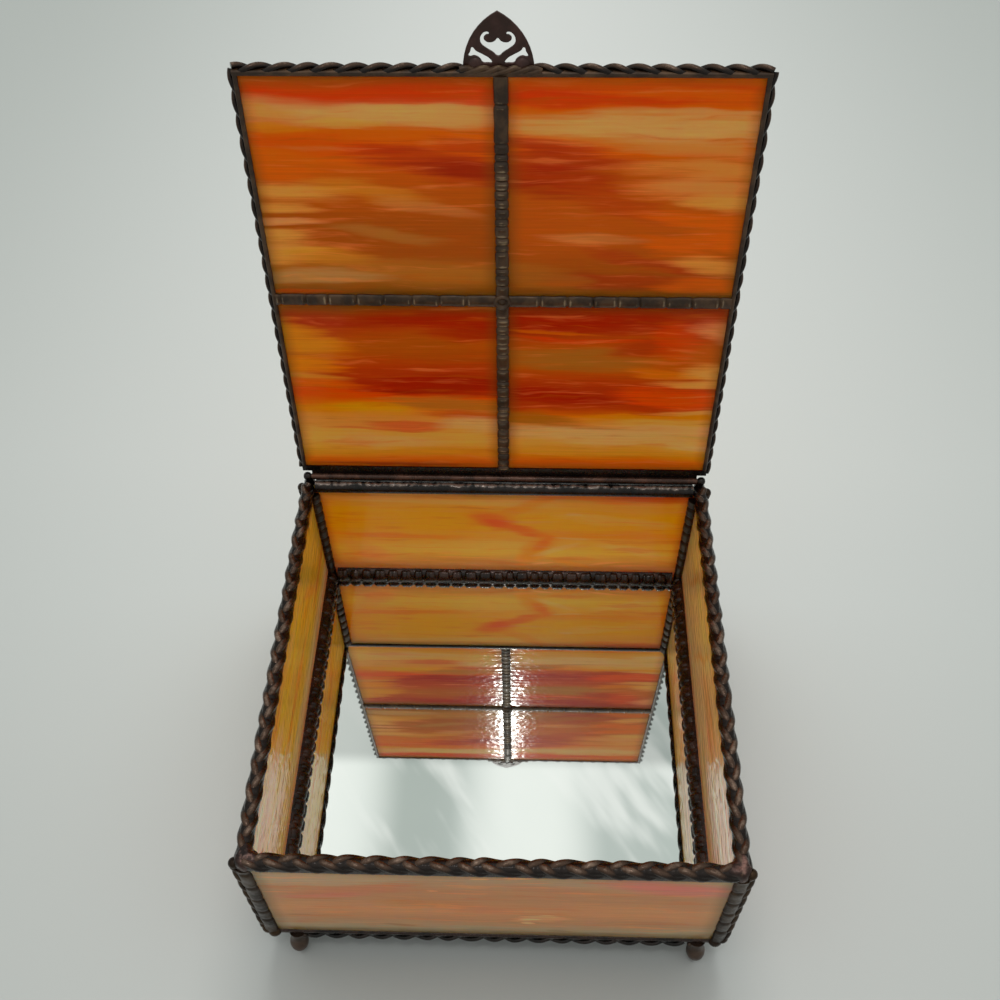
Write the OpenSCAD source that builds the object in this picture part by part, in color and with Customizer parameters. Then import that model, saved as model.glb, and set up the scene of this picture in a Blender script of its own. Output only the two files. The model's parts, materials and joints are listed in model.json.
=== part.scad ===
// Square keepsake box of streaky glass, with a mirror base and a hinged lid of four panes.
// The pieces of glass are edged with foil and joined with solder beads, trimmed with braided wire.
// X runs along the hinge, Y from front to back and Z up. The origin is the centre of the mirror's
// underside. The lid is drawn open, as it stands when it leans on its stop.

/* [Box] */
// Outside width, over the glass of the two side walls
body_w = 153; // [120:1:200]
// Outside depth, over the glass of the front and back walls
body_d = 150; // [120:1:200]
// Height of the four glass walls
wall_h = 57; // [40:1:90]
// Thickness of the wall and lid glass
glass_t = 3; // [2.5:0.1:4]
// Thickness of the mirror that makes the base
mirror_t = 2; // [1.6:0.1:3]

/* [Soldered seams] */
// Thickness of the foil and solder on the edge of a piece of glass
foil_t = 0.3; // [0.2:0.05:0.4]
// Room beside the foil in a joint, filled with solder
joint_slack = 0.1; // [0.05:0.05:0.3]
// Thickness of the solder laid flat on the outside of the box
lap_t = 0.5; // [0.3:0.1:0.8]
// Reach of a corner seam over the outside of each wall
corner_lap = 3.4; // [3:0.1:5]
// Radius of the bead inside a corner
corner_bead_r = 2.4; // [1.5:0.1:3]
// Height of the bead between the mirror and the walls
base_bead_h = 6; // [4:0.5:9]
// Depth of that bead from the wall
base_bead_d = 4; // [2.5:0.5:6]
// Height of the bottom seam on the outside of the walls
base_lap = 3.6; // [2.5:0.1:5]
// Reach of the bottom seam under the mirror, from its edge
base_under = 3.2; // [2:0.2:5]

/* [Rim] */
// Radius of the braid on the front and side walls
braid_r = 2.8; // [2.4:0.1:3.4]
// Height of the braid's middle above the glass
braid_rise = 1.1; // [0.8:0.1:1.6]
// Depth of the dips between the humps of the braid
braid_dip = 0.5; // [0.3:0.1:0.8]
// Distance from hump to hump of the braid
braid_pitch = 8.6; // [6:0.2:12]
// How far the braid hangs down past the top of the glass
braid_skirt = 0.8; // [0.4:0.1:1.2]
// Height of the foil on the walls under the braid
rim_lap = 2.2; // [1.5:0.1:4]
// Radius of the plain bead on the back wall
back_bead_r = 2.3; // [2:0.1:2.6]
// Radius of the solder pad on each front corner
corner_pad_r = 2.9; // [2.6:0.1:3.4]
// Distance from the outside of the back wall to the end of a side braid
braid_back_set = 0.8; // [0.5:0.1:2]

/* [Twisted wire on corners and bottom] */
// Radius of the twisted wire
wire_r = 1.5; // [1:0.1:2]
// How far the wire stands out from what it is soldered to
wire_out = 1.8; // [1.2:0.1:2]
// Depth of the dips between the turns of the twisted wires
wire_dip = 0.4; // [0.2:0.1:0.6]
// Distance from hump to hump of the twisted wires
wire_pitch = 6.8; // [5:0.2:10]
// Distance of a corner wire from the edge of the corner
corner_wire_set = 1.6; // [1.5:0.1:2]
// Distance of a bottom wire from the outside of the wall
base_wire_set = 0.6; // [0:0.1:1.5]

/* [Feet] */
// Distance of a foot from the outside of the side wall
foot_set = 8.9; // [7:0.1:15]
// Distance of a foot from the outside of the front or back wall
foot_depth_set = 0.8; // [0.5:0.1:4]
// Height of a foot
foot_h = 12.5; // [8:0.5:20]
// Radius of the ball of a foot
foot_ball_r = 3.1; // [2.6:0.1:3.8]
// Radius of the stub that joins the ball to the box
foot_stub_r = 2.3; // [1.6:0.1:2.5]
// Depth of the flat that is worn on the ball
foot_flat = 0.15; // [0.1:0.05:0.4]

/* [Lid] */
// Overhang of the lid glass past the front wall
lid_front_over = 6; // [3:0.5:12]
// Overhang of the lid glass past each side wall
lid_side_over = 0; // [0:0.5:3]
// Distance from the hinge line to the back edge of the lid glass
lid_back_set = 3; // [2.5:0.1:5]
// Room between the shut lid and the rim
lid_gap = 0.3; // [0.3:0.1:1]
// Reach of the edge solder over the faces of the lid glass
lid_lap = 1.2; // [0.8:0.1:3]
// Reach of the solder at the hinge over the faces of the lid glass
lid_back_lap = 1.6; // [1.2:0.1:4]
// Thickness of the edge solder on the faces of the lid glass
lid_lap_t = 0.5; // [0.3:0.1:0.8]
// Width of the seams between the panes
lid_seam_w = 4.9; // [4:0.1:7]
// Height of those seams above the glass, on both faces
lid_seam_bulge = 0.9; // [0.8:0.1:1.4]
// Radius of the knot where the seams cross
knot_r = 2.4; // [2:0.1:3]
// Height of the knot above the glass, on both faces
knot_h = 1.5; // [1.1:0.1:2]
// Radius of the wire braid on the edge of the lid
lid_wire_r = 1.9; // [1.6:0.1:2.2]
// How far the braid stands out from the edge of the lid
lid_wire_out = 1.2; // [0.9:0.1:1.5]
// Depth of the dips between the humps of the braid on the lid
lid_wire_dip = 0.5; // [0.3:0.05:0.6]
// Distance from hump to hump of the braid on the lid
lid_wire_pitch = 6.9; // [5:0.1:10]
// Angle from shut to open, where the lid leans on its stop
lid_open = 96; // [90:1:110]

/* [Hinge] */
// Radius of the hinge rod
rod_r = 0.8; // [0.6:0.05:0.9]
// Running clearance of the rod in the tube
rod_play = 0.05; // [0.02:0.01:0.1]
// Outside radius of the hinge tube
tube_r = 1.3; // [1.2:0.05:1.4]
// Length of the rod's turned-down ends
rod_leg = 12; // [6:0.5:20]
// Room between the tube and the rod's turned-down ends
tube_end_gap = 0.6; // [0.4:0.1:1.5]
// Radius of the solder sleeve that holds a turned-down end
sleeve_r = 1.7; // [1.4:0.1:2]
// Distance of the sleeve's top below the top of the corner seam
sleeve_set = 0.8; // [0.5:0.1:3]

/* [Pull] */
// Width of the stamped pull at its foot
pull_w = 20.4; // [16:0.2:26]
// Height of the pull from the lid's edge to its point
pull_h = 16.4; // [13:0.2:22]
// Thickness of the stamping
pull_t = 0.9; // [0.6:0.1:1.4]

/* [Hidden] */
$fn = 48;

// Which side of the box a repeated piece is on
left = -1;
right = 1;
front = -1;
back = 1;

// Half sizes of the box, and the joint between two neighbouring pieces of glass
half_w = body_w / 2;
half_d = body_d / 2;
joint_gap = foil_t + joint_slack;
side_wall_half = half_d - glass_t - joint_gap;

// The rim: the middle and the top of the braid, and where the corner seams end below it
rim_axis_z = wall_h + braid_rise;
rim_top = rim_axis_z + braid_r;
corner_top = wall_h - braid_skirt;
corner_reach = glass_t + corner_bead_r;

// The hinge line lies over the back corner seams, level with the top of the rim
hinge_y = half_d + lap_t + rod_r;
hinge_z = rim_top;
leg_x = half_w - corner_lap / 2;
tube_half = leg_x - rod_r - tube_end_gap;

// The lid, measured from the hinge line: forward along the shut lid, and up from it
lid_half_w = half_w + lid_side_over;
lid_in = lid_seam_bulge + lid_gap;
lid_out = lid_in + glass_t;
lid_mid = lid_in + glass_t / 2;
lid_back = lid_back_set;
lid_front = hinge_y + half_d + lid_front_over;
lid_cross = (lid_back + lid_front) / 2;
lid_seam_back_end = lid_back + lid_back_lap;
lid_seam_front_end = lid_front - lid_lap;
lid_seam_side_end = lid_half_w - lid_lap;

// Feet
foot_x = half_w - foot_set;
foot_y = half_d - foot_depth_set;
foot_bottom = -lap_t - foot_h;
foot_ball_z = foot_bottom + foot_ball_r - foot_flat;

// Enough to cut right through a piece, and how far the mitres of the bottom seam run in
through = 1;
mitre = glass_t + joint_gap + max(base_under, base_bead_d) + through;
arc_steps = 8;
hump_rise = 0.3;

amber = [0.80, 0.50, 0.14];
deep_orange = [0.76, 0.33, 0.06];
silver = [0.80, 0.84, 0.82];
patina = [0.20, 0.13, 0.11];
copper_brown = [0.32, 0.18, 0.14];

// ---- Shared shapes ----

// Puts a piece drawn for the right-hand back corner on any corner
module on_corner(side, end) {
    flip_x = side == left ? 1 : 0;
    flip_y = end == front ? 1 : 0;
    mirror([flip_x, 0, 0]) mirror([0, flip_y, 0]) children();
}

// A wire braid along X, as a round bar with a hump at every pitch
module rope(length, pitch, hump_r, valley_r) {
    count = max(1, round(length / pitch));
    step = length / count;
    humps = [for (i = [0 : count - 1]) each [
        [valley_r, i * step],
        [hump_r, (i + hump_rise) * step],
        [hump_r, (i + 1 - hump_rise) * step]]];
    translate([-length / 2, 0, 0])
        rotate([0, 90, 0])
            rotate_extrude()
                polygon(concat([[0, 0]], humps, [[valley_r, length], [0, length]]));
}

// A twisted wire along X, soldered to a face at z = 0 and standing out from it
module soldered_rope(length, pitch, r, dip, out) {
    intersection() {
        translate([0, 0, out - r]) rope(length, pitch, r, r - dip);
        translate([-length, -2 * r, 0]) cube([2 * length, 4 * r, 2 * r]);
    }
}

// A shallow bead of solder in section, on a face at y = 0
module bead_section(width, height) {
    r = (pow(width / 2, 2) + pow(height, 2)) / (2 * height);
    intersection() {
        translate([0, height - r]) circle(r, $fn = 96);
        translate([-width / 2, 0]) square([width, height]);
    }
}

// Turns the shut lid, drawn from the hinge line with y = -forward, to where it stands open
module on_open_lid() {
    translate([0, hinge_y, hinge_z]) rotate([-lid_open, 0, 0]) children();
}

// ---- Glass and mirror ----

module base_mirror() {
    color(silver)
        translate([-half_w + glass_t + joint_gap, -side_wall_half, 0])
            cube([body_w - 2 * (glass_t + joint_gap), 2 * side_wall_half, mirror_t]);
}

module end_wall(end) {
    y = end == front ? -half_d : half_d - glass_t;
    color(amber) translate([-half_w, y, 0]) cube([body_w, glass_t, wall_h]);
}

module side_wall(side) {
    x = side == left ? -half_w : half_w - glass_t;
    color(amber) translate([x, -side_wall_half, 0]) cube([glass_t, 2 * side_wall_half, wall_h]);
}

module front_wall() end_wall(front);
module back_wall() end_wall(back);
module left_wall() side_wall(left);
module right_wall() side_wall(right);

// ---- Corner seams: a lap round the outside, solder in the joint, a bead inside ----

module corner_seam(side, end) {
    inner_x = half_w - glass_t;
    inner_y = half_d - glass_t;
    color(patina) on_corner(side, end) {
        translate([0, 0, base_lap]) linear_extrude(corner_top - base_lap) {
            translate([half_w - corner_lap, half_d]) square([corner_lap, lap_t]);
            translate([half_w, half_d - corner_lap]) square([lap_t, corner_lap]);
            intersection() {
                translate([half_w, half_d]) circle(lap_t);
                translate([half_w, half_d]) square(lap_t);
            }
        }
        translate([0, 0, base_lap]) linear_extrude(corner_top - base_lap)
            translate([inner_x - joint_gap, inner_y - joint_gap])
                square([joint_gap + glass_t + lap_t, joint_gap]);
        translate([0, 0, mirror_t]) linear_extrude(corner_top - mirror_t)
            intersection() {
                translate([inner_x, inner_y]) circle(corner_bead_r);
                translate([inner_x - corner_bead_r, inner_y - corner_bead_r]) square(corner_bead_r);
            }
    }
}

module corner_seam_front_left() corner_seam(left, front);
module corner_seam_front_right() corner_seam(right, front);
module corner_seam_back_left() corner_seam(left, back);
module corner_seam_back_right() corner_seam(right, back);

module corner_wire(side, end) {
    length = corner_top - base_lap;
    color(patina) on_corner(side, end)
        translate([half_w + lap_t, half_d - corner_wire_set, base_lap + length / 2])
            rotate([0, 90, 0])
                soldered_rope(length, wire_pitch, wire_r, wire_dip, wire_out);
}

module corner_wire_front_left() corner_wire(left, front);
module corner_wire_front_right() corner_wire(right, front);
module corner_wire_back_left() corner_wire(left, back);
module corner_wire_back_right() corner_wire(right, back);

// ---- Bottom seam: from the outside of a wall, under it, up its joint and into the bead ----

// In section, x is measured inwards from the outside of the wall
module base_seam_section() {
    under = glass_t + joint_gap + base_under;
    translate([-lap_t, -lap_t]) square([lap_t, lap_t + base_lap]);
    translate([-lap_t, -lap_t]) square([lap_t + under, lap_t]);
    translate([glass_t, -lap_t]) square([joint_gap, lap_t + mirror_t + joint_gap]);
    polygon(concat([[glass_t, mirror_t]], [for (i = [0 : arc_steps]) [
        glass_t + base_bead_d * cos(90 * i / arc_steps),
        mirror_t + base_bead_h * sin(90 * i / arc_steps)]]));
}

// The bottom seam along X for a wall whose outside is at y = -depth, mitred at both ends
module base_seam(width, depth) {
    reach = width + lap_t;
    color(patina)
        difference() {
            intersection() {
                translate([-reach, -depth, 0]) rotate([90, 0, 90])
                    linear_extrude(2 * reach) base_seam_section();
                translate([0, 0, -lap_t - through])
                    linear_extrude(lap_t + mirror_t + base_bead_h + base_lap + 2 * through)
                        polygon([[-reach, -depth - lap_t], [reach, -depth - lap_t],
                            [reach - mitre, -depth - lap_t + mitre],
                            [-reach + mitre, -depth - lap_t + mitre]]);
            }
            for (side = [left, right])
                translate([side * (width - glass_t), -depth + glass_t, mirror_t])
                    cylinder(h = base_bead_h + through, r = corner_bead_r);
        }
}

module base_seam_front() base_seam(half_w, half_d);
module base_seam_back() rotate([0, 0, 180]) base_seam(half_w, half_d);
module base_seam_left() rotate([0, 0, -90]) base_seam(half_d, half_w);
module base_seam_right() rotate([0, 0, 90]) base_seam(half_d, half_w);

module base_wire(length) {
    color(patina) rotate([180, 0, 0])
        soldered_rope(length, wire_pitch, wire_r, wire_dip, wire_out);
}

// The wires along the front and back run from foot to foot
module end_base_wire(end) {
    translate([0, end * (half_d - base_wire_set), -lap_t])
        base_wire(2 * (foot_x - foot_stub_r - lap_t));
}

module side_base_wire(side) {
    translate([side * (half_w - base_wire_set), 0, -lap_t]) rotate([0, 0, 90])
        base_wire(body_d - 2 * (glass_t + base_wire_set));
}

module base_wire_front() end_base_wire(front);
module base_wire_back() end_base_wire(back);
module base_wire_left() side_base_wire(left);
module base_wire_right() side_base_wire(right);

// ---- Feet: a stub with a ball, flat where it stands ----

module foot(side, end) {
    color(copper_brown) translate([side * foot_x, end * foot_y, 0]) {
        difference() {
            union() {
                translate([0, 0, foot_ball_z]) cylinder(h = -lap_t - foot_ball_z, r = foot_stub_r);
                translate([0, 0, foot_ball_z]) sphere(foot_ball_r);
            }
            translate([-foot_ball_r, -foot_ball_r, foot_bottom - through])
                cube([2 * foot_ball_r, 2 * foot_ball_r, through]);
        }
    }
}

module foot_front_left() foot(left, front);
module foot_front_right() foot(right, front);
module foot_back_left() foot(left, back);
module foot_back_right() foot(right, back);

// ---- Rim: foil over the glass, a braid on three sides and a plain bead at the back ----

// A foil channel over the top of a wall along X, centred on the wall
module rim_foil(length) {
    color(patina) rotate([90, 0, 90]) translate([0, 0, -length / 2]) linear_extrude(length)
        difference() {
            translate([-glass_t / 2 - foil_t, wall_h - rim_lap])
                square([glass_t + 2 * foil_t, rim_lap + foil_t]);
            translate([-glass_t / 2, wall_h - rim_lap - through])
                square([glass_t, rim_lap + through]);
        }
}

module side_rim_foil(side) {
    translate([side * (half_w - glass_t / 2), 0, 0]) rotate([0, 0, 90])
        rim_foil(body_d - 2 * corner_reach);
}

module rim_foil_front() translate([0, -half_d + glass_t / 2, 0]) rim_foil(body_w - 2 * corner_reach);
module rim_foil_left() side_rim_foil(left);
module rim_foil_right() side_rim_foil(right);

// What the braids and beads of the rim leave free: the glass with its foil, along X
module rim_slot(length) {
    slot_w = glass_t + 2 * foil_t;
    drop = 2 * braid_r;
    translate([-length / 2, -slot_w / 2, wall_h + foil_t - drop]) cube([length, slot_w, drop]);
    translate([-length / 2, -drop, corner_top - drop]) cube([length, 2 * drop, drop]);
}

module rim_braid(length) {
    color(copper_brown) difference() {
        translate([0, 0, rim_axis_z]) rope(length, braid_pitch, braid_r, braid_r - braid_dip);
        rim_slot(length + 2 * through);
    }
}

module rim_braid_front() {
    translate([0, -half_d + glass_t / 2, 0])
        rim_braid(body_w - glass_t - 2 * corner_pad_r);
}

// A side braid runs from the pad on the front corner to the back corner, over the back wall
module side_rim_braid(side) {
    start = -half_d + glass_t / 2 + corner_pad_r;
    stop = half_d - braid_back_set;
    difference() {
        translate([side * (half_w - glass_t / 2), (start + stop) / 2, 0]) rotate([0, 0, 90])
            rim_braid(stop - start);
        translate([-half_w, half_d - glass_t - joint_gap, 0])
            cube([body_w, glass_t + joint_gap, wall_h + foil_t]);
    }
}

module rim_braid_left() side_rim_braid(left);
module rim_braid_right() side_rim_braid(right);

module rim_bead_back() {
    length = body_w - glass_t - 2 * braid_r - 2 * joint_slack;
    color(patina) difference() {
        translate([-length / 2, half_d - glass_t / 2, wall_h]) rotate([0, 90, 0])
            cylinder(h = length, r = back_bead_r);
        translate([-length / 2 - through, half_d - glass_t, corner_top - through])
            cube([length + 2 * through, glass_t, wall_h - corner_top + through]);
        translate([-length / 2 - through, half_d - glass_t - back_bead_r, corner_top - back_bead_r])
            cube([length + 2 * through, glass_t + 2 * back_bead_r, back_bead_r]);
    }
}

module rim_corner(side) {
    dome_z = rim_top - lid_gap - corner_pad_r;
    color(copper_brown) difference() {
        translate([side * (half_w - glass_t / 2), -half_d + glass_t / 2, 0]) {
            translate([0, 0, corner_top]) cylinder(h = dome_z - corner_top, r = corner_pad_r);
            translate([0, 0, dome_z]) sphere(corner_pad_r);
        }
        translate([-half_w, -half_d, corner_top - 2 * corner_pad_r])
            cube([body_w, glass_t, wall_h - corner_top + 2 * corner_pad_r]);
        translate([side == left ? -half_w : half_w - glass_t, -side_wall_half,
                corner_top - 2 * corner_pad_r])
            cube([glass_t, 2 * side_wall_half, wall_h - corner_top + 2 * corner_pad_r]);
        translate([-body_w, -body_d, corner_top - corner_pad_r])
            cube([2 * body_w, 2 * body_d, corner_pad_r]);
    }
}

module rim_corner_left() rim_corner(left);
module rim_corner_right() rim_corner(right);

// ---- Hinge: a rod with turned-down ends on the box, in a tube on the lid ----

module hinge_rod() {
    color(copper_brown) translate([0, hinge_y, hinge_z]) {
        translate([-leg_x, 0, 0]) rotate([0, 90, 0]) cylinder(h = 2 * leg_x, r = rod_r);
        for (side = [left, right])
            translate([side * leg_x, 0, 0]) {
                sphere(rod_r);
                translate([0, 0, -rod_leg]) cylinder(h = rod_leg, r = rod_r);
            }
    }
}

// The rod's end touches the corner seam, so the sleeve is open along that line
module rod_solder(side) {
    sleeve_top = corner_top - sleeve_set;
    color(patina) translate([side * leg_x, hinge_y, hinge_z - rod_leg])
        linear_extrude(sleeve_top - hinge_z + rod_leg)
            difference() {
                circle(sleeve_r);
                circle(rod_r);
                translate([-2 * sleeve_r, -rod_r - 2 * sleeve_r]) square([4 * sleeve_r, 2 * sleeve_r]);
                translate([-rod_r / 2, -2 * sleeve_r]) square([rod_r, 2 * sleeve_r]);
            }
}

module rod_solder_left() rod_solder(left);
module rod_solder_right() rod_solder(right);

module hinge_tube() {
    color(copper_brown) translate([-tube_half, hinge_y, hinge_z]) rotate([0, 90, 0])
        difference() {
            cylinder(h = 2 * tube_half, r = tube_r);
            translate([0, 0, -through])
                cylinder(h = 2 * (tube_half + through), r = rod_r + rod_play);
        }
}

// ---- Lid glass: four panes ----

module lid_pane(side, end) {
    far = joint_gap / 2;
    x = side == left ? -lid_half_w : far;
    y = end == front ? -lid_front : -lid_cross + far;
    length = lid_front - lid_cross - far;
    color(deep_orange) on_open_lid() lid_pane_shape(x, y, lid_half_w - far, length);
}

module lid_pane_shape(x, y, width, length) {
    translate([x, y, lid_in]) cube([width, length, glass_t]);
}

module lid_pane_front_left() lid_pane(left, front);
module lid_pane_front_right() lid_pane(right, front);
module lid_pane_back_left() lid_pane(left, back);
module lid_pane_back_right() lid_pane(right, back);

// The lid's glass as one plate, without and with the joints between the panes
module lid_plate() {
    translate([-lid_half_w, -lid_front, lid_in])
        cube([2 * lid_half_w, lid_front - lid_back, glass_t]);
}

module lid_glass() {
    difference() {
        lid_plate();
        translate([-joint_gap / 2, -lid_front - through, lid_in - through])
            cube([joint_gap, lid_front + 2 * through, glass_t + 2 * through]);
        translate([-lid_half_w - through, -lid_cross - joint_gap / 2, lid_in - through])
            cube([2 * (lid_half_w + through), joint_gap, glass_t + 2 * through]);
    }
}

// ---- Lid seams: a bead on both faces and solder in the joint ----

// A seam along X from x = 0, mitred to the seams it meets and cut round the knot
module lid_seam(length) {
    cut_h = 3 * lid_out;
    color(patina) difference() {
        intersection() {
            rotate([90, 0, 90]) linear_extrude(length) {
                translate([0, lid_out]) bead_section(lid_seam_w, lid_seam_bulge);
                mirror([0, 1]) translate([0, -lid_in]) bead_section(lid_seam_w, lid_seam_bulge);
                translate([-joint_gap / 2, lid_in - lid_seam_bulge / 2])
                    square([joint_gap, glass_t + lid_seam_bulge]);
            }
            translate([0, 0, -lid_out]) linear_extrude(cut_h)
                polygon([[0, 0], [length, -length], [length, length]]);
        }
        translate([0, 0, -lid_out]) cylinder(h = cut_h, r = knot_r);
    }
}

module lid_seam_front() on_open_lid() translate([0, -lid_cross, 0]) rotate([0, 0, -90])
    lid_seam(lid_seam_front_end - lid_cross);
module lid_seam_back() on_open_lid() translate([0, -lid_cross, 0]) rotate([0, 0, 90])
    lid_seam(lid_cross - lid_seam_back_end);
module lid_seam_left() on_open_lid() translate([0, -lid_cross, 0]) rotate([0, 0, 180])
    lid_seam(lid_seam_side_end);
module lid_seam_right() on_open_lid() translate([0, -lid_cross, 0]) lid_seam(lid_seam_side_end);

module lid_knot() {
    dome_r = (pow(knot_r, 2) + pow(knot_h, 2)) / (2 * knot_h);
    color(patina) on_open_lid() difference() {
        translate([0, -lid_cross, 0]) {
            translate([0, 0, lid_in]) cylinder(h = glass_t, r = knot_r);
            intersection() {
                translate([0, 0, lid_out + knot_h - dome_r]) sphere(dome_r);
                translate([0, 0, lid_out]) cylinder(h = knot_h, r = knot_r);
            }
            intersection() {
                translate([0, 0, lid_in - knot_h + dome_r]) sphere(dome_r);
                translate([0, 0, lid_in - knot_h]) cylinder(h = knot_h, r = knot_r);
            }
        }
        lid_glass();
    }
}

// ---- Lid edges: foil and solder round the outside of the lid ----

module lid_edge_block(x, y, width, length) {
    translate([x, y, lid_in - lid_lap_t]) cube([width, length, glass_t + 2 * lid_lap_t]);
}

module lid_edge_front() {
    color(patina) on_open_lid() difference() {
        lid_edge_block(-lid_half_w - foil_t, -lid_front - foil_t, 2 * (lid_half_w + foil_t),
            lid_lap + foil_t);
        lid_glass();
    }
}

module lid_edge_side(side) {
    x = side == left ? -lid_half_w - foil_t : lid_half_w - lid_lap;
    color(patina) on_open_lid() difference() {
        lid_edge_block(x, -lid_seam_front_end, lid_lap + foil_t,
            lid_seam_front_end - lid_seam_back_end);
        lid_glass();
    }
}

module lid_edge_left() lid_edge_side(left);
module lid_edge_right() lid_edge_side(right);

// The back edge is one thick seam that also holds the hinge tube
module lid_edge_back() {
    corner = lid_lap_t;
    top = lid_out + lid_lap_t;
    bottom = lid_in - lid_lap_t;
    color(patina) on_open_lid() difference() {
        union() {
            translate([-lid_half_w - foil_t, 0, 0]) rotate([90, 0, 90])
                linear_extrude(2 * (lid_half_w + foil_t))
                    polygon([[-lid_seam_back_end, bottom], [-lid_seam_back_end, top],
                        [-lid_back + foil_t + corner, top], [-lid_back + foil_t + 2 * corner, lid_mid],
                        [-lid_back + foil_t + corner, bottom]]);
            translate([-tube_half, 0, 0]) rotate([90, 0, 90]) linear_extrude(2 * tube_half)
                polygon([[-lid_back, bottom], [-lid_back, lid_mid], [-lid_back + corner, lid_mid],
                    [0, tube_r + corner], [0, bottom]]);
        }
        rotate([0, 90, 0]) cylinder(h = 2 * tube_half, r = tube_r, center = true);
        lid_glass();
    }
}

// ---- Wire braid on the edge of the lid ----

module lid_rope(length) {
    color(copper_brown) rotate([90, 0, 0])
        soldered_rope(length, lid_wire_pitch, lid_wire_r, lid_wire_dip, lid_wire_out);
}

// The front braid is in two lengths, one on each side of the pull
module lid_braid_front(side) {
    start = pull_w / 2 + joint_gap;
    stop = lid_half_w;
    on_open_lid() translate([side * (start + stop) / 2, -lid_front - foil_t, lid_mid])
        lid_rope(stop - start);
}

module lid_braid_side(side) {
    turn = side == left ? -90 : 90;
    on_open_lid()
        translate([side * (lid_half_w + foil_t), -(lid_back + lid_front) / 2, lid_mid])
            rotate([0, 0, turn])
                lid_rope(lid_front - lid_back);
}

module lid_braid_front_left() lid_braid_front(left);
module lid_braid_front_right() lid_braid_front(right);
module lid_braid_left() lid_braid_side(left);
module lid_braid_right() lid_braid_side(right);

// ---- Pull: a pointed stamping with a heart and two side openings ----

// The outline's arcs meet in a point; y is up from the edge of the lid
module pull_outline() {
    half = pull_w / 2;
    set = (pow(pull_h, 2) - pow(half, 2)) / (2 * half);
    intersection() {
        translate([-set, 0]) circle(half + set, $fn = 120);
        translate([set, 0]) circle(half + set, $fn = 120);
        translate([-half, 0]) square([pull_w, pull_h]);
    }
}

// The heart's lobes curl in over a tongue with two round ends
module pull_heart() {
    unit = pull_w / 20;
    difference() {
        union() {
            for (side = [left, right])
                translate([side * 3 * unit, 7.8 * unit]) circle(2.3 * unit);
            polygon([[-5 * unit, 6.7 * unit], [-3 * unit, 8.5 * unit], [3 * unit, 8.5 * unit],
                [5 * unit, 6.7 * unit], [0, 2.8 * unit]]);
        }
        for (side = [left, right])
            translate([side * 2 * unit, 8.6 * unit]) circle(1.2 * unit);
        translate([-2 * unit, 8.6 * unit]) square([4 * unit, 2.4 * unit]);
    }
}

module pull_side_opening() {
    unit = pull_w / 20;
    polygon([[-7.3 * unit, 5.6 * unit], [-8.3 * unit, 2.8 * unit], [-5.8 * unit, 2.6 * unit],
        [-4.4 * unit, 1.2 * unit], [-1.5 * unit, 1.2 * unit], [-4 * unit, 3.3 * unit]]);
}

module lid_pull() {
    color(copper_brown) on_open_lid()
        translate([0, -lid_front - foil_t, lid_mid + pull_t / 2]) rotate([180, 0, 0])
            linear_extrude(pull_t) difference() {
                pull_outline();
                pull_heart();
                pull_side_opening();
                mirror([1, 0]) pull_side_opening();
            }
}

base_mirror();
front_wall();
back_wall();
left_wall();
right_wall();
corner_seam_front_left();
corner_seam_front_right();
corner_seam_back_left();
corner_seam_back_right();
corner_wire_front_left();
corner_wire_front_right();
corner_wire_back_left();
corner_wire_back_right();
base_seam_front();
base_seam_back();
base_seam_left();
base_seam_right();
base_wire_front();
base_wire_back();
base_wire_left();
base_wire_right();
foot_front_left();
foot_front_right();
foot_back_left();
foot_back_right();
rim_foil_front();
rim_foil_left();
rim_foil_right();
rim_bead_back();
rim_braid_front();
rim_braid_left();
rim_braid_right();
rim_corner_left();
rim_corner_right();
hinge_rod();
rod_solder_left();
rod_solder_right();
lid_pane_front_left();
lid_pane_front_right();
lid_pane_back_left();
lid_pane_back_right();
lid_seam_front();
lid_seam_back();
lid_seam_left();
lid_seam_right();
lid_knot();
lid_edge_front();
lid_edge_back();
lid_edge_left();
lid_edge_right();
lid_braid_front_left();
lid_braid_front_right();
lid_braid_left();
lid_braid_right();
hinge_tube();
lid_pull();
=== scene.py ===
"""Looks of the stained glass keepsake box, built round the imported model.

Lengths in this file are millimetres unless a name says otherwise; MM turns them into metres.
"""

import json
import math
import random

import bpy
from mathutils import Matrix, Vector

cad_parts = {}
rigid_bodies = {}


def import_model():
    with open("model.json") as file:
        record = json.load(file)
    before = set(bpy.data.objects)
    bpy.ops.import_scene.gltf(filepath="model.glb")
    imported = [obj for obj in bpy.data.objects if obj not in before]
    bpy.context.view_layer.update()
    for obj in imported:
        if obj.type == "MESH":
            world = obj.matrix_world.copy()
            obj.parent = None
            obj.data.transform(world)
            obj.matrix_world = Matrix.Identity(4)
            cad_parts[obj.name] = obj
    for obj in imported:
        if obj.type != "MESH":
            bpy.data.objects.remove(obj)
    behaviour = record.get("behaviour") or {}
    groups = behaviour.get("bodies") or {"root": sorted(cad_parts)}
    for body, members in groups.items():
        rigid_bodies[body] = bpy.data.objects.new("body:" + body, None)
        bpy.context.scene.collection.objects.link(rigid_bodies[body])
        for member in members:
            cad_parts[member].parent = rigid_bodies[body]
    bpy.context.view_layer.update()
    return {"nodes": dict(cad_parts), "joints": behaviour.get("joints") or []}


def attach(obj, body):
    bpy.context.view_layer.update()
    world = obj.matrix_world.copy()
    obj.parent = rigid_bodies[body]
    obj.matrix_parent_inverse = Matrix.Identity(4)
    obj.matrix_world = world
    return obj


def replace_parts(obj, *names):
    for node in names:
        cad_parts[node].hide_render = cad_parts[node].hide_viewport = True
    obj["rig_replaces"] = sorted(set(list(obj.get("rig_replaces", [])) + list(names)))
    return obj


MM = 0.001
METRE = 1000.0
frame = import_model()

# ---- the box's own measures ----

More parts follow.
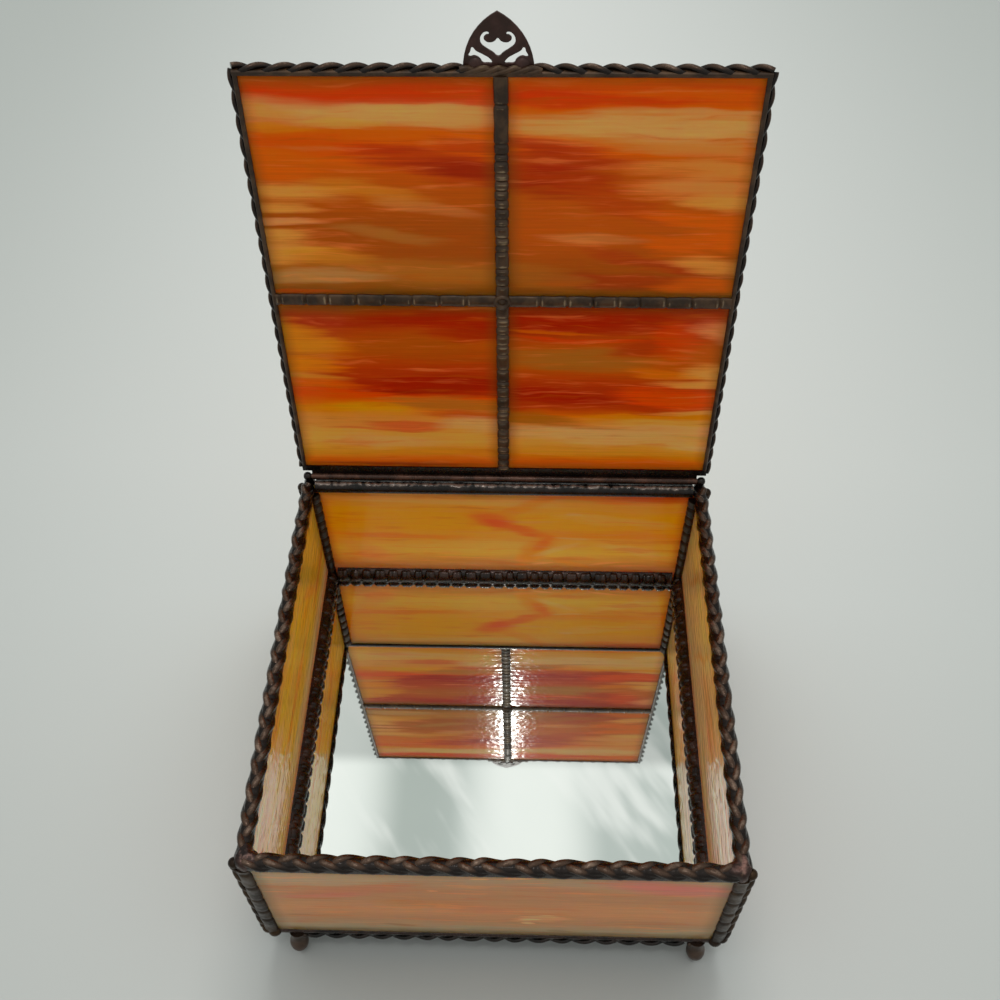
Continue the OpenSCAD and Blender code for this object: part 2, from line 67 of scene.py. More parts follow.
HINGE = frame["joints"][0]
HINGE_Y, HINGE_Z = (value / MM for value in HINGE["pos_m"][1:])
OPEN = math.radians(HINGE["range_deg"][1])
LID_FORWARD = Vector((0, -math.cos(OPEN), math.sin(OPEN)))  # from the hinge to the lid's front edge, as drawn
LID_OUT = Vector((0, math.sin(OPEN), math.cos(OPEN)))  # from the lid's inside to its outside, as drawn
X, Y, Z = Vector((1, 0, 0)), Vector((0, 1, 0)), Vector((0, 0, 1))

LID_IN, LID_GLASS_OUT, LID_MIDDLE = 1.2, 4.2, 2.7
LID_FRONT, LID_CROSS, LID_SIDE = 157.3, 80.15, 76.5
WALL_X, WALL_Y, WALL = 76.5, 75.0, 3.0
MIRROR_TOP, FLOOR_Z = 2.0, -13.0
HANDS = (("left", -1), ("right", 1))
DEPTHS = (("front", -1), ("back", 1))


def on_lid(x, forward, out=LID_MIDDLE):
    """A point of the shut lid's own measures, placed on the lid as it stands open."""
    return Vector((x, HINGE_Y, HINGE_Z)) + LID_FORWARD * forward + LID_OUT * out


def add_object(name, data):
    thing = bpy.data.objects.new(name, data)
    bpy.context.scene.collection.objects.link(thing)
    return thing


def mesh_of(thing):
    """The mesh that a curve or a modifier comes to. The object itself is taken away."""
    graph = bpy.context.evaluated_depsgraph_get()
    mesh = bpy.data.meshes.new_from_object(thing.evaluated_get(graph))
    bpy.data.objects.remove(thing)
    return mesh


# ---- a bench for node trees: sockets that can be written as sums ----


class Wire:
    """An output socket that can stand in an expression."""

    def __init__(self, bench, socket):
        self.bench, self.socket = bench, socket

    def maths(self, operation, *others):
        return self.bench.make("ShaderNodeMath", {"operation": operation}, dict(enumerate((self,) + others)))[0]

    def __add__(self, other):
        return self.maths("ADD", other)

    def __sub__(self, other):
        return self.maths("SUBTRACT", other)

    def __rsub__(self, other):
        return self.maths("MULTIPLY_ADD", -1.0, other)

    def __mul__(self, other):
        return self.maths("MULTIPLY", other)

    def __truediv__(self, other):
        return self.maths("DIVIDE", other)

    __radd__, __rmul__ = __add__, __mul__

    def smooth(self, low, high):
        """0 below low and 1 above high, with a soft step between; low may be the larger one."""
        return self.bench.make("ShaderNodeMapRange", {"interpolation_type": "SMOOTHSTEP"},
                               {0: self, 1: low, 2: high, 3: 0.0, 4: 1.0})[0]


class Made:
    """A node on the bench, whose outputs are wires."""

    def __init__(self, bench, node):
        self.bench, self.node = bench, node

    def __getitem__(self, key):
        return Wire(self.bench, self.node.outputs[key])


class Bench:
    """A node tree and the one way that nodes are put in it."""

    def __init__(self, tree):
        self.tree = tree
        tree.nodes.clear()

    def make(self, kind, settings=None, values=None):
        node = self.tree.nodes.new(kind)
        for key, value in (settings or {}).items():
            setattr(node, key, value)
        for key, value in (values or {}).items():
            socket = node.inputs[key]
            for one in value if isinstance(value, list) else [value]:
                if isinstance(one, Wire):
                    self.tree.links.new(one.socket, socket)
                else:
                    socket.default_value = one
        return Made(self, node)

    def ramp(self, stops, place):
        """A row of colours, each stop being (place, colour)."""
        made = self.make("ShaderNodeValToRGB", None, {0: place})
        elements = made.node.color_ramp.elements
        while len(elements) < len(stops):
            elements.new(1.0)
        for element, stop in zip(elements, stops):
            element.position, element.color = stop
        return made[0]

    def mix(self, share, first, second, **settings):
        settings["data_type"] = "RGBA"
        return self.make("ShaderNodeMix", settings, {0: share, 6: first, 7: second})[2]

    def noise(self, place, scale, detail=2.0, roughness=0.5):
        return self.make("ShaderNodeTexNoise", None,
                         {"Vector": place, "Scale": scale, "Detail": detail, "Roughness": roughness})[0]

    def vector(self, x, y, z):
        return self.make("ShaderNodeCombineXYZ", None, {0: x, 1: y, 2: z})[0]

    def parts(self, place):
        apart = self.make("ShaderNodeSeparateXYZ", None, {0: place})
        return apart[0], apart[1], apart[2]

    def bump(self, height):
        """A surface roughened by a height in millimetres."""
        return self.make("ShaderNodeBump", None, {"Strength": 1.0, "Distance": MM, "Height": height})[0]

    def coat(self, values):
        """The surface that ends a material's tree."""
        surface = self.make("ShaderNodeBsdfPrincipled", None, values)
        self.make("ShaderNodeOutputMaterial", None, {0: surface[0]})


def tone(code):
    """A colour written as it should look, turned into the linear one a shader wants."""
    parts = [int(code[i:i + 2], 16) / 255 for i in (0, 2, 4)]
    return tuple(p / 12.92 if p <= 0.04045 else ((p + 0.055) / 1.055) ** 2.4 for p in parts) + (1.0,)


def finish_bench(name):
    """A new material, its bench, and a wire with the place on the object."""
    material = bpy.data.materials.new(name)
    material.use_nodes = True
    bench = Bench(material.node_tree)
    return material, bench, bench.make("ShaderNodeTexCoord")["Object"]


# ---- streaky glass ----

# The sheet's own colours, by the names a glass cutter would use, with two painted reflections for the side
# walls and a painted glint for the front wall.
SHEET = """
    ember B43404, orange C05404, tangerine C84300, burnt A04A08, russet 9A3306, rust 92290A,
    maroon 861D04, blood 8E1A02, walnut 914509, umber 7E4009, saffron C06A06, amber B86E12, honey B87426,
    gold C67E44, cream CC7E5A, peach C6703A, clay AC6A40, olive 965A1E, moss 8A520E, sand A07250,
    stone BE8264, rose B4522C, shell BC7038, yellow B87608, flame B43802, straw BC845C, oat AA7030,
    biscuit B88038, grey 8E725F, mist 927866, dusk 94684E, brick 9C5A44, mauve A85C58, tan A46E50,
    soot 70523C, glow F0906A, fawn B07452, wheat B87850, milk E8746C, ivory F08880, bronze 8E5A20,
    toffee 9C6A34, smoke B0785C, apricot CC7242
"""
GLASS = {key: tone(code) for key, code in (pair.split() for pair in SHEET.split(","))}
# Light that has come through the sheet has lost more green than red, so the sheet's own green is stronger.
GREENER = 1.22
GLASS = {key: (red, green * GREENER, blue, 1.0) for key, (red, green, blue, _) in GLASS.items()}
LIT_THROUGH = {"Subsurface Weight": 1.0, "Subsurface Radius": (1.0, 0.62, 0.2), "Subsurface Scale": 0.009}


def rows(text):
    """A table written as words. Commas part its rows, and a row is a colour's name and then numbers."""
    return [(paint, *map(float, numbers)) for paint, *numbers in (row.split() for row in text.split(","))]


def streaky_glass(name, lay, span, rise, ground, streaks, ripple, lightness_and_painted_light, dimple, gloss=1.45, pulled=14.0,
                  green=1.0, outside=1.0):
    """Opalescent glass with streaks drawn along it.

    lay turns an object's x, y and z into how far along, across and out of the box a point lies. span and rise
    are the pane's ends along and across. shade is how light the sheet is against its colours: partly the
    sheet's own lightness and partly painted light for the light that comes through the sheet into the box.
    outside is the share of it that the outer face keeps, so the outer face has less of that painted light. A
    row of ground is a colour and how far across it lies. A row of streaks is a colour, its start and end
    (along, across, along, across), half its width and its strength.
    """
    material, bench, place = finish_bench(name)
    along, across, out = lay(*bench.parts(place))
    seed = sum(ord(letter) for letter in name) % 17

    def grain(long, short, layer, detail=2.0, roughness=0.5, cross=across):
        """Noise in grains drawn out along the sheet. Each layer differs."""
        return bench.noise(bench.vector(along / long, cross / short, seed + layer), 1.0, detail, roughness)

    drift = grain(42.0, 11.0, 0.0)
    drag = grain(22.0, 3.0, 5.0, 3.0)
    feather = (grain(46.0, 1.5, 21.0, 4.0, 0.65) - 0.5) * 2.2
    u = along + (drag - 0.5) * pulled
    v = across + (drift - 0.5) * 7.0 + (drag - 0.5) * 2.2

    low, high = rise
    stops = sorted(((at - low) / (high - low), GLASS[paint]) for paint, at in rows(ground))
    colour = bench.ramp(stops, (v - low) / (high - low))
    for paint, u0, v0, u1, v1, half, strength in rows(streaks):
        length = math.hypot(u1 - u0, v1 - v0)
        cos, sin = (u1 - u0) / length, (v1 - v0) / length
        run = (u * cos + v * sin - (u0 * cos + v0 * sin + length / 2)) / (length * 0.6)
        off = (v * cos - u * sin - (v0 * cos - u0 * sin)) / half
        share = (run * run + off * off + feather).smooth(1.5, 0.0) * strength
        colour = bench.mix(share, colour, GLASS[paint])

    # Finer streaks that run through them all, drawn lines, a little milky peach, and a painted shadow on the
    # edge beside the metal.
    ribbon = grain(38.0, 2.6, 17.0, 3.0, 0.6, v)
    colour = bench.mix(ribbon.smooth(0.54, 0.74) * 0.42, colour, GLASS["apricot"])
    colour = bench.mix(ribbon.smooth(0.46, 0.28) * 0.42, colour, GLASS["burnt"])
    thread = grain(34.0, 0.75, 9.0, 3.0, 0.6)
    wisp = grain(24.0, 2.4, 13.0, 4.0, 0.62)
    colour = bench.mix(wisp.smooth(0.58, 0.80) * 0.30, colour, GLASS["peach"])
    colour = bench.mix(wisp.smooth(0.44, 0.20) * 0.40, colour, GLASS["burnt"])
    # Painted light: the lightness lifts the sheet's colours for the light that comes through into the box, and
    # the outer face keeps only the share outside of it.
    lightness = (thread * 0.36 + 0.82) * (out.smooth(-0.5, 0.5) * (outside - 1.0) + 1.0) * lightness_and_painted_light
    colour = bench.make("ShaderNodeHueSaturation", None, {"Value": lightness, "Color": colour})[0]
    colour = bench.mix(1.0, colour, (1.0, green, 1.0, 1.0), blend_type="MULTIPLY")
    # Painted shadow: within 5 mm of its edges, where it meets the metal, the sheet is mixed towards olive.
    painted_edge_shadow_reach = ((along - span[0]).maths("MINIMUM", span[1] - along)).maths(
        "MINIMUM", (across - low).maths("MINIMUM", high - across))
    colour = bench.mix(painted_edge_shadow_reach.smooth(5.0, 0.5) * 0.35, colour, GLASS["olive"], clamp_result=True)

    bumps = (grain(26.0, 3.4, 3.0) * ripple + grain(5.0, 1.7, 7.0, 1.0) * ripple * 0.18
             + grain(3.6, 3.0, 25.0, 1.0) * dimple)
    bench.coat({"Base Color": colour, "Roughness": 0.1, "IOR": gloss, "Normal": bench.bump(bumps),
                **LIT_THROUGH})
    return material


def lies_in_lid(x, y, z):
    y, z = (y - HINGE_Y * MM) * METRE, (z - HINGE_Z * MM) * METRE
    return x * METRE, y * LID_FORWARD.y + z * LID_FORWARD.z, y * LID_OUT.y + z * LID_OUT.z - LID_MIDDLE


def lies_across(x, y, z):
    return x * METRE, z * METRE, y.maths("ABSOLUTE") * METRE - (WALL_Y - WALL / 2)


def lies_front_to_back(x, y, z):
    return y * METRE, z * METRE, x.maths("ABSOLUTE") * METRE - (WALL_X - WALL / 2)


# The gains below lift each pane's colours: partly the sheet's own lightness, partly painted light that is
# largest on the side walls, which stand dimmest in the box.
LID_GLASS = dict(lay=lies_in_lid, ripple=0.10, gloss=1.15, lightness_and_painted_light=1.95, green=1.2, dimple=0.09, outside=0.72)
# On the side walls the broad pale streaks and the thin bright ones at the front ends are painted reflection of
# the bright room in the rippled glass, laid over the sheet's amber.
SIDE_GLASS = dict(lay=lies_front_to_back, span=(-71.5, 71.5), rise=(8, 56), ripple=0.30, dimple=0.26)
PANES = {
    "lid_pane_front_left": dict(
        LID_GLASS, span=(-75.3, -2.3), rise=(82.5, 156),
        ground="""
    burnt 156, ember 151, cream 146, orange 140, orange 132, burnt 122, walnut 108, walnut 98, olive 90,
    umber 83""",
        streaks="""
    cream -66 146 0 143.5 4.6 .9, gold -60 143 -36 141 1.6 .7, tangerine -84 137 -36 134 3.6 .75,
    ember -50 150.5 6 150 2.4 .85, peach -84 147 -62 145 2.2 .7, saffron -78 142 -56 140.5 1.2 .7,
    rust -44 133 4 125 6 .85, maroon -24 127.5 4 125 3 .75, rust -20 136 4 133 2.4 .6,
    gold -84 121 -50 119 3.2 .8, honey -58 122.5 -24 118 2.6 .55, orange -84 128 -56 125 2.6 .6,
    gold -84 115.5 -58 114.5 2.4 .8, gold -84 105 -62 104 2.2 .8, cream -84 109.5 -60 109 1.6 .75,
    clay -36 118 -8 112 2.6 .5, toffee -54 107 -20 103 2.2 .5, gold -86 99 -60 98 5.5 .85,
    honey -72 97 -42 95.5 3.4 .7, sand -82 88.5 -38 89.5 2.6 .75, olive -50 94.5 -6 90 3.6 .7,
    tangerine -82 83.5 -50 83.5 1 .7"""),
    "lid_pane_front_right": dict(
        LID_GLASS, span=(2.3, 75.3), rise=(82.5, 156),
        ground="""
    orange 156, ember 151, orange 147, peach 140, orange 134, burnt 128, burnt 116, burnt 104, walnut 94,
    umber 83""",
        streaks="""
    ember -4 150 52 149 2.6 .85, orange 30 152 84 150 1.8 .7, cream 4 142.5 90 139.5 4.6 .95,
    cream 40 146.5 86 144 1.8 .7, apricot 40 136 84 131 3 .7, rust -6 136 30 134 2.6 .8,
    rust -4 131 40 130 3.6 .8, blood -6 126 34 123 5 .7, maroon -4 123 22 120 3 .6,
    russet 18 122 50 112 5 .6, peach 38 128 84 126 3.4 .9, apricot 42 122 84 121 3 .85,
    gold 56 117.5 84 116 2.6 .8, orange 44 113 84 108 3 .7, orange 58 104 84 101 4 .7,
    orange 44 104 66 98 4 .6, clay 14 104.5 44 103 2.2 .6, rust 30 99 66 90 2.8 .6, rust 14 89 60 87.5 3 .6,
    olive -2 92 26 87 5 .6, gold 54 95 84 93 3 .7, orange 52 87 84 86 3 .7"""),
    "lid_pane_back_left": dict(
        LID_GLASS, span=(-75.3, -2.3), rise=(5, 78),
        ground="""
    umber 78, rust 71, burnt 62, russet 52, rust 45, tangerine 39, saffron 34, shell 29, gold 18, honey 12,
    orange 7""",
        streaks="""
    blood -44 73 6 72 4.6 .85, walnut -54 62 -8 58 6 .6, blood -54 42.5 6 44.5 4.8 .95,
    maroon -42 40 6 40 2.4 .7, russet -26 31.5 6 30.5 2.6 .7, blood -26 67.5 6 67 4 .75,
    amber -90 68 -56 60 7 .9, saffron -90 55 -58 52 5 .9, honey -90 48 -58 47 2.2 .8,
    orange -90 45 -52 44 2 .9, tangerine -86 41.5 -44 40 2 .85, olive -42 36.5 6 34 3.2 .9,
    yellow -66 35 -36 33 2.4 .8, saffron -84 34 -58 33 2 .7, shell -86 27 -46 26 3.2 .8,
    rose -48 26 -22 25 2.8 .95, rose -66 23.5 -30 23 .9 .7, stone -22 27 8 25 4.4 .85,
    cream -62 17.5 -22 17 3.2 .8, gold -30 19 4 20 2.4 .7, amber -54 11.5 2 12 2 .6,
    rust -66 6.2 -16 6 1.1 .8"""),
    "lid_pane_back_right": dict(
        LID_GLASS, span=(2.3, 75.3), rise=(5, 78),
        ground="""
    maroon 78, rust 70, burnt 60, burnt 52, russet 46, rust 40, russet 34, saffron 30, sand 24, gold 18,
    amber 12, orange 7""",
        streaks="""
    blood -6 74 44 73 4.4 .9, blood -8 69 30 69 3 .75, maroon -6 76.5 34 76 2.4 .9, ember 0 66 54 63 1 .7,
    saffron 0 68.5 30 67 .8 .5, bronze 0 57 48 55 5.5 .8, rust 38 60 60 61 3.6 .75, flame 52 66 66 64 8 .7,
    cream 66 70 88 66 5 .7, gold 64 52 88 50 4 .9, saffron 46 51 66 50 2.6 .5, blood -6 43 36 38 3.6 .9,
    tangerine 44 41 86 38 4.6 .85, russet -4 35.5 30 34 1.6 .7, saffron 30 30.5 84 31.5 1.6 .9,
    gold 38 27.5 84 27 2.6 .8, cream 40 24.5 88 23.5 2.6 .9, gold 54 33 88 33 1.2 .8,
    gold 56 46.5 88 46 2.2 .8, moss -4 31 26 28 3.2 .8, stone -4 23 60 20 3.6 .9, cream 34 19 86 18 2 .7,
    stone 62 17.5 86 17 1.4 .7, honey 4 14 62 13 2.6 .7, orange 0 7 84 8.5 1 .5"""),
    "back_wall": dict(
        lay=lies_across, span=(-71.5, 71.5), rise=(8, 56), ripple=0.14, gloss=1.2, lightness_and_painted_light=2.15, pulled=5.0,
        green=1.14, dimple=0.04, outside=0.55,
        ground="""
    oat 56, honey 50, yellow 44, yellow 36, honey 29, biscuit 20, toffee 12, sand 8""",
        streaks="""
    yellow -76 44 -16 39 8 .85, gold -60 54 14 51 3 .85, orange -64 31 -18 29.5 1.4 .55,
    saffron -14 42 4 40 5 .8, saffron -12 38 20 55 2.8 .75, orange -11 42 5 36.5 4.6 .9,
    flame -7 40.5 2 37 2.6 .6, orange -1 37.5 20 29 3 .95, saffron 19 31 7 14 5.2 .85,
    orange 19 30 12 22 2.4 .6, flame 38 57 80 55 4 .85, orange 8 57 46 53 2 .6, saffron 14 33 70 30 2.8 .8,
    gold 22 44 50 40 3.6 .6, cream 24 45 30 44 1.2 .6, gold 48 41 68 37 3.4 .6, shell -66 24 -48 15 5 .6,
    gold -42 23 6 25 5 .5, straw 13 19 30 26 1.6 .55, cream 20 29.5 34 29 .8 .6, cream 12 13 20 14 .8 .6,
    cream 36 13 46 14 .8 .5, straw 40 25 62 20 2.6 .45, amber 18 17 36 11 1.8 .5"""),
    "left_wall": dict(
        SIDE_GLASS, lightness_and_painted_light=2.9, green=0.98, outside=0.42,
        ground="""
    oat 56, honey 48, honey 38, honey 28, honey 20, smoke 13, smoke 8""",
        streaks="""
    yellow -26 45 30 42 4 .6, burnt -22 30 30 27 2.2 .45, saffron 14 36 74 30 4.5 .6,
    walnut 44 24 74 26 2.6 .5, milk -90 46 -30 42 10 .9, milk -90 28 -28 26 8 .85,
    ivory -70 50 -48 48 1.6 .8, ivory -66 34 -44 32 1.2 .7, smoke -78 15 0 13 4 .6,
    apricot -2 49 24 47 2.2 .5, bronze -32 51 -14 50 2.4 .6, bronze 28 44 52 24 2.2 .5"""),
    "right_wall": dict(
        SIDE_GLASS, lightness_and_painted_light=3.3, green=0.88, outside=0.36,
        ground="""
    oat 56, wheat 48, wheat 38, fawn 28, fawn 20, smoke 13, smoke 8""",
        streaks="""
    clay -30 38 10 34 5 .8, brick -28 34 -8 31 3 .6, gold 8 44 60 40 4 .5, smoke -20 24 30 22 4 .7,
    milk -90 46 -30 42 12 .9, milk -90 24 -26 22 9 .9, ivory -70 46 -40 45 1.6 .8,
    ivory -66 32 -34 30 1.4 .8, ivory -60 22 -32 21 1.2 .6, wheat 22 28 70 24 4 .5,
    bronze 4 50 24 20 1.8 .45, bronze 40 50 58 18 2 .45"""),
    # On the front wall the small bright orange streaks near the middle and the top are painted glints.
    "front_wall": dict(
        lay=lies_across, span=(-72.5, 72.5), rise=(2, 56), ripple=0.1, gloss=1.2, lightness_and_painted_light=2.3, pulled=4.0,
        dimple=0.05,
        ground="""
    grey 56, grey 49, dusk 42, dusk 34, tan 24, dusk 15, grey 8, soot 3""",
        streaks="""
    mist -76 51 -32 50 5.5 .8, brick -62 37 -26 43 4.6 .5, mauve -66 34 -40 37 2 .4,
    olive -36 31 -8 31 3.6 .3, mauve 36 50 80 45 5.5 .9, tan 26 29 74 20 7 .7, brick -14 27 8 25 4 .35,
    brick 0 47 28 44 2.5 .25, glow 8 17 24 19 2.6 .2, glow 10 19.2 22 20 .7 .8, glow 9 16.8 15 17 .8 .8,
    glow 15 21.2 20 21.4 .5 .7, glow 9 14.2 13 14.4 .5 .7, glow -6 52 -1 52.5 .7 .6, glow 4 54 12 54 .6 .6,
    glow -20 41 -17 41 .4 .4, soot -37 10 -27 9 .9 .5, soot -68 17 -60 17 .7 .35, soot 18 8 26 7 .9 .5,
    soot -60 5 -40 5 .8 .5, soot 34 6 42 5 .9 .5, soot -30 14.5 -20 15 .6 .3"""),
}

# ---- metals and mirror ----


def patina(name, dark, warm, worn_and_highlight_tone, wear_and_highlight, rough, grain=1.1, lumps=0.25, metallic=0.6, hollows=False):
    """Solder or wire darkened with a copper patina, lighter where its crest is high: partly worn metal and
    partly a painted highlight on what stands out towards the light.

    With hollows it is dark between the humps, and otherwise in clouds.
    """
    material, bench, place = finish_bench(name)
    crest = bench.make("ShaderNodeAttribute", {"attribute_name": "crest"})["Fac"]
    cloud = bench.noise(place, 150.0 / grain, 3.0, 0.6)
    grit = bench.noise(place, 900.0 / grain, 2.0, 0.6)
    warmth = (crest + (cloud - 0.5) * 0.7).smooth(0.35, 0.85) if hollows else cloud.smooth(0.38, 0.62)
    colour = bench.mix(warmth, tone(dark), tone(warm))
    # Worn metal and painted highlight: where the crest and the noise run high, the colour goes to the lighter
    # tone.
    worn_and_highlit_share = (crest + (grit - 0.5) * 0.5 + (cloud - 0.5) * 1.1).smooth(0.80, 1.20) * wear_and_highlight
    colour = bench.mix(worn_and_highlit_share, colour, tone(worn_and_highlight_tone))
    bumps = cloud * lumps + grit * lumps * 0.25
    bench.coat({"Base Color": colour, "Metallic": metallic, "Roughness": grit * 0.5 + (rough - 0.25),
                "Coat Weight": 0.16, "Coat Roughness": 0.18, "Normal": bench.bump(bumps)})
    return material


def mirror_glass():
    material, bench, place = finish_bench("mirror_glass")
    haze = bench.noise(place, 30.0, 3.0)
    bench.coat({"Base Color": bench.mix(haze, tone("E9EFEB"), tone("F2F6F3")), "Metallic": 1.0,
                "Roughness": haze * 0.02 + 0.008})
    return material


SOLDER = patina("patina_solder", "3A281A", "5C432E", "B09878", wear_and_highlight=0.8, rough=0.4, metallic=0.45)
WIRE = patina("patina_wire", "1C110C", "4C3628", "A88E7C", wear_and_highlight=0.5, rough=0.26, hollows=True)
CANE = patina("patina_cane", "2C2018", "42301F", "6E5848", wear_and_highlight=0.3, rough=0.4, metallic=0.9)
BLACK = patina("patina_black", "14100E", "261C18", "8A7C74", wear_and_highlight=0.8, rough=0.24)
INNER = patina("patina_red_brown", "1A100C", "3A261E", "A89888", wear_and_highlight=0.8, rough=0.26)
COPPER = patina("copper_pad", "261A18", "4A3028", "B88C80", wear_and_highlight=0.75, rough=0.28)
HINGE_METAL = patina("hinge_brown", "3A241A", "5E3E30", "A08070", wear_and_highlight=0.5, rough=0.3)
FOOT_METAL = patina("foot_brown", "34281F", "5A463A", "9A8A7E", wear_and_highlight=0.5, rough=0.4, grain=1.6)
PULL_METAL = patina("pull_brown", "3A211A", "50302A", "7C584C", wear_and_highlight=0.5, rough=0.45, metallic=0.35)
MIRROR = mirror_glass()

# ---- making shapes ----


THINNEST = 0.02  # how thin a turned shape or a pad gets at its pole
BACK = 10  # flats over a bead's rounded back


def outward(points, faces):
    """The faces of one closed shell, turned to point outwards."""
    volume = 0.0
    for face in faces:
        a = points[face[0]]
        for b, c in zip(face[1:-1], face[2:]):
            volume += a.dot(points[b].cross(points[c]))
    return faces if volume > 0 else [tuple(reversed(face)) for face in faces]


def skin(rings, crest=0.6):
    """Rings with as many points each, joined into one closed shell with a flat end at each side."""
    count = len(rings[0])
    points = [Vector(p) for ring in rings for p in ring]
    faces = []
    for i in range(len(rings) - 1):
        for j in range(count):
            k = (j + 1) % count
            faces.append((i * count + j, i * count + k, (i + 1) * count + k, (i + 1) * count + j))
    last = (len(rings) - 1) * count
    faces += [tuple(range(count)), tuple(last + j for j in reversed(range(count)))]
    crests = crest if isinstance(crest, list) else [crest] * len(points)
    return points, outward(points, faces), crests


def turned(profile, foot, axis, sides):
    """A shape turned on a lathe: profile is (radius, height) from one pole to the other."""
    axis = axis.normalized()
    side = (X if abs(axis.x) < 0.5 else Y).cross(axis).normalized()
    other = axis.cross(side)
    angles = [2 * math.pi * k / sides for k in range(sides)]
    return skin([[foot + axis * height + (side * math.cos(t) + other * math.sin(t)) * max(radius, THINNEST)
                  for t in angles] for radius, height in profile])


def ball(at, wide, high, steps, sides):
    """A drop of solder, as a ball with half sizes wide and high."""
    angles = [math.pi * k / steps for k in range(steps + 1)]
    return turned([(wide * math.sin(t), -high * math.cos(t)) for t in angles], at, Z, sides)


def lumpy(seed, grain):
    """A smooth wandering value between -1 and 1 along a length, the same at every run."""
    dice = random.Random(seed)
    waves = [(dice.uniform(0.6, 1.4) / grain, dice.uniform(0, 6.28), dice.uniform(0.4, 1.0))
             for _ in range(5)]
    total = sum(w[2] for w in waves)
    return lambda s: sum(math.sin(2 * math.pi * s * f + p) * a for f, p, a in waves) / total


def marks_along(dice, at, until, short, long):
    """Places along a seam, each a random stretch on from the one before, till one is past the end."""
    marks = []
    while at < until:
        at += dice.uniform(short, long)
        marks.append(at)
    return marks


def bead(start, end, side, up, half, height, marks=(), notch=0.3, breadth=0.5, uneven=0.06, seed=1, step=0.35,
         sink=0.3, ridge=0.0, ripples=2.6):
    """A run of solder with a rounded back.

    marks are where it is pinched, notch is how deep and breadth how long a pinch is, ridge how high the bead
    stands beside it, and sink how far its foot goes into the face below.
    """
    length = (end - start).length
    run = (end - start) / length
    wander, swell = lumpy(seed, 9.0), lumpy(seed + 50, ripples)
    arc = [math.pi * k / BACK for k in range(BACK + 1)]
    count = max(8, int(length / step))
    rings, crests = [], []
    for i in range(count + 1):
        s = length * i / count
        pinch = max([math.exp(-((s - m) / breadth) ** 2) for m in marks] or [0.0])
        near = max([math.exp(-((abs(s - m) - 2.1 * breadth) / breadth) ** 2) for m in marks] or [0.0])
        high = height * (1 - notch * pinch + ridge * near + uneven * (wander(s) + swell(s)))
        wide = half * (1 - 0.35 * notch * pinch + 0.5 * uneven * wander(s + 30))
        middle = start + run * s + side * (0.06 * half * wander(s + 90))
        ring = [middle + side * (wide * math.cos(t)) + up * (high * math.sin(t) ** 0.8) for t in arc]
        ring += [middle - side * wide - up * sink, middle + side * wide - up * sink]
        rings.append(ring)
        # The crest is high over the bead's back and on the ridges beside a pinch and low in the pinch: the
        # lighter colour it drives is partly worn solder and partly a painted highlight, and the pinch is left
        # dark as painted shadow.
        top = 0.62 + 0.5 * near * (1 if ridge else 0) - 0.9 * pinch
        crests += [0.1] + [top * math.sin(t) ** 0.7 for t in arc[1:-1]] + [0.1, 0.0, 0.0]
    return skin(rings, crests)


def shell_of(mesh, foot=None, rise=None, reach=1.0):
    """A plain mesh as a shell. Where a rise is given, its crest is how far it stands up from the foot."""
    points = [v.co / MM for v in mesh.vertices]
    crests = [0.5] * len(points)
    if rise:
        crests = [min(max((p - foot).dot(rise) / reach, 0.0), 1.0) for p in points]
    return points, [tuple(p.vertices) for p in mesh.polygons], crests


def build(name, shells, metal, body, nodes, crease=45.0):
    """One piece out of its shells, riding on its body."""
    points, faces, crests = [], [], []
    for some, flats, heights in shells:
        faces += [tuple(i + len(points) for i in face) for face in flats]
        points += some
        crests += heights
    mesh = bpy.data.meshes.new(name)
    mesh.from_pydata([tuple(p * MM) for p in points], [], faces)
    mesh.attributes.new("crest", "FLOAT", "POINT").data.foreach_set("value", crests)
    mesh.materials.append(metal)
    mesh.polygons.foreach_set("use_smooth", [True] * len(mesh.polygons))
    mesh.set_sharp_from_angle(angle=math.radians(crease))
    mesh.update()
    piece = add_object(name, mesh)
    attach(piece, body)
    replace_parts(piece, *nodes)


# ---- wire: two strands twisted or three plaited, as a geometry tree ----


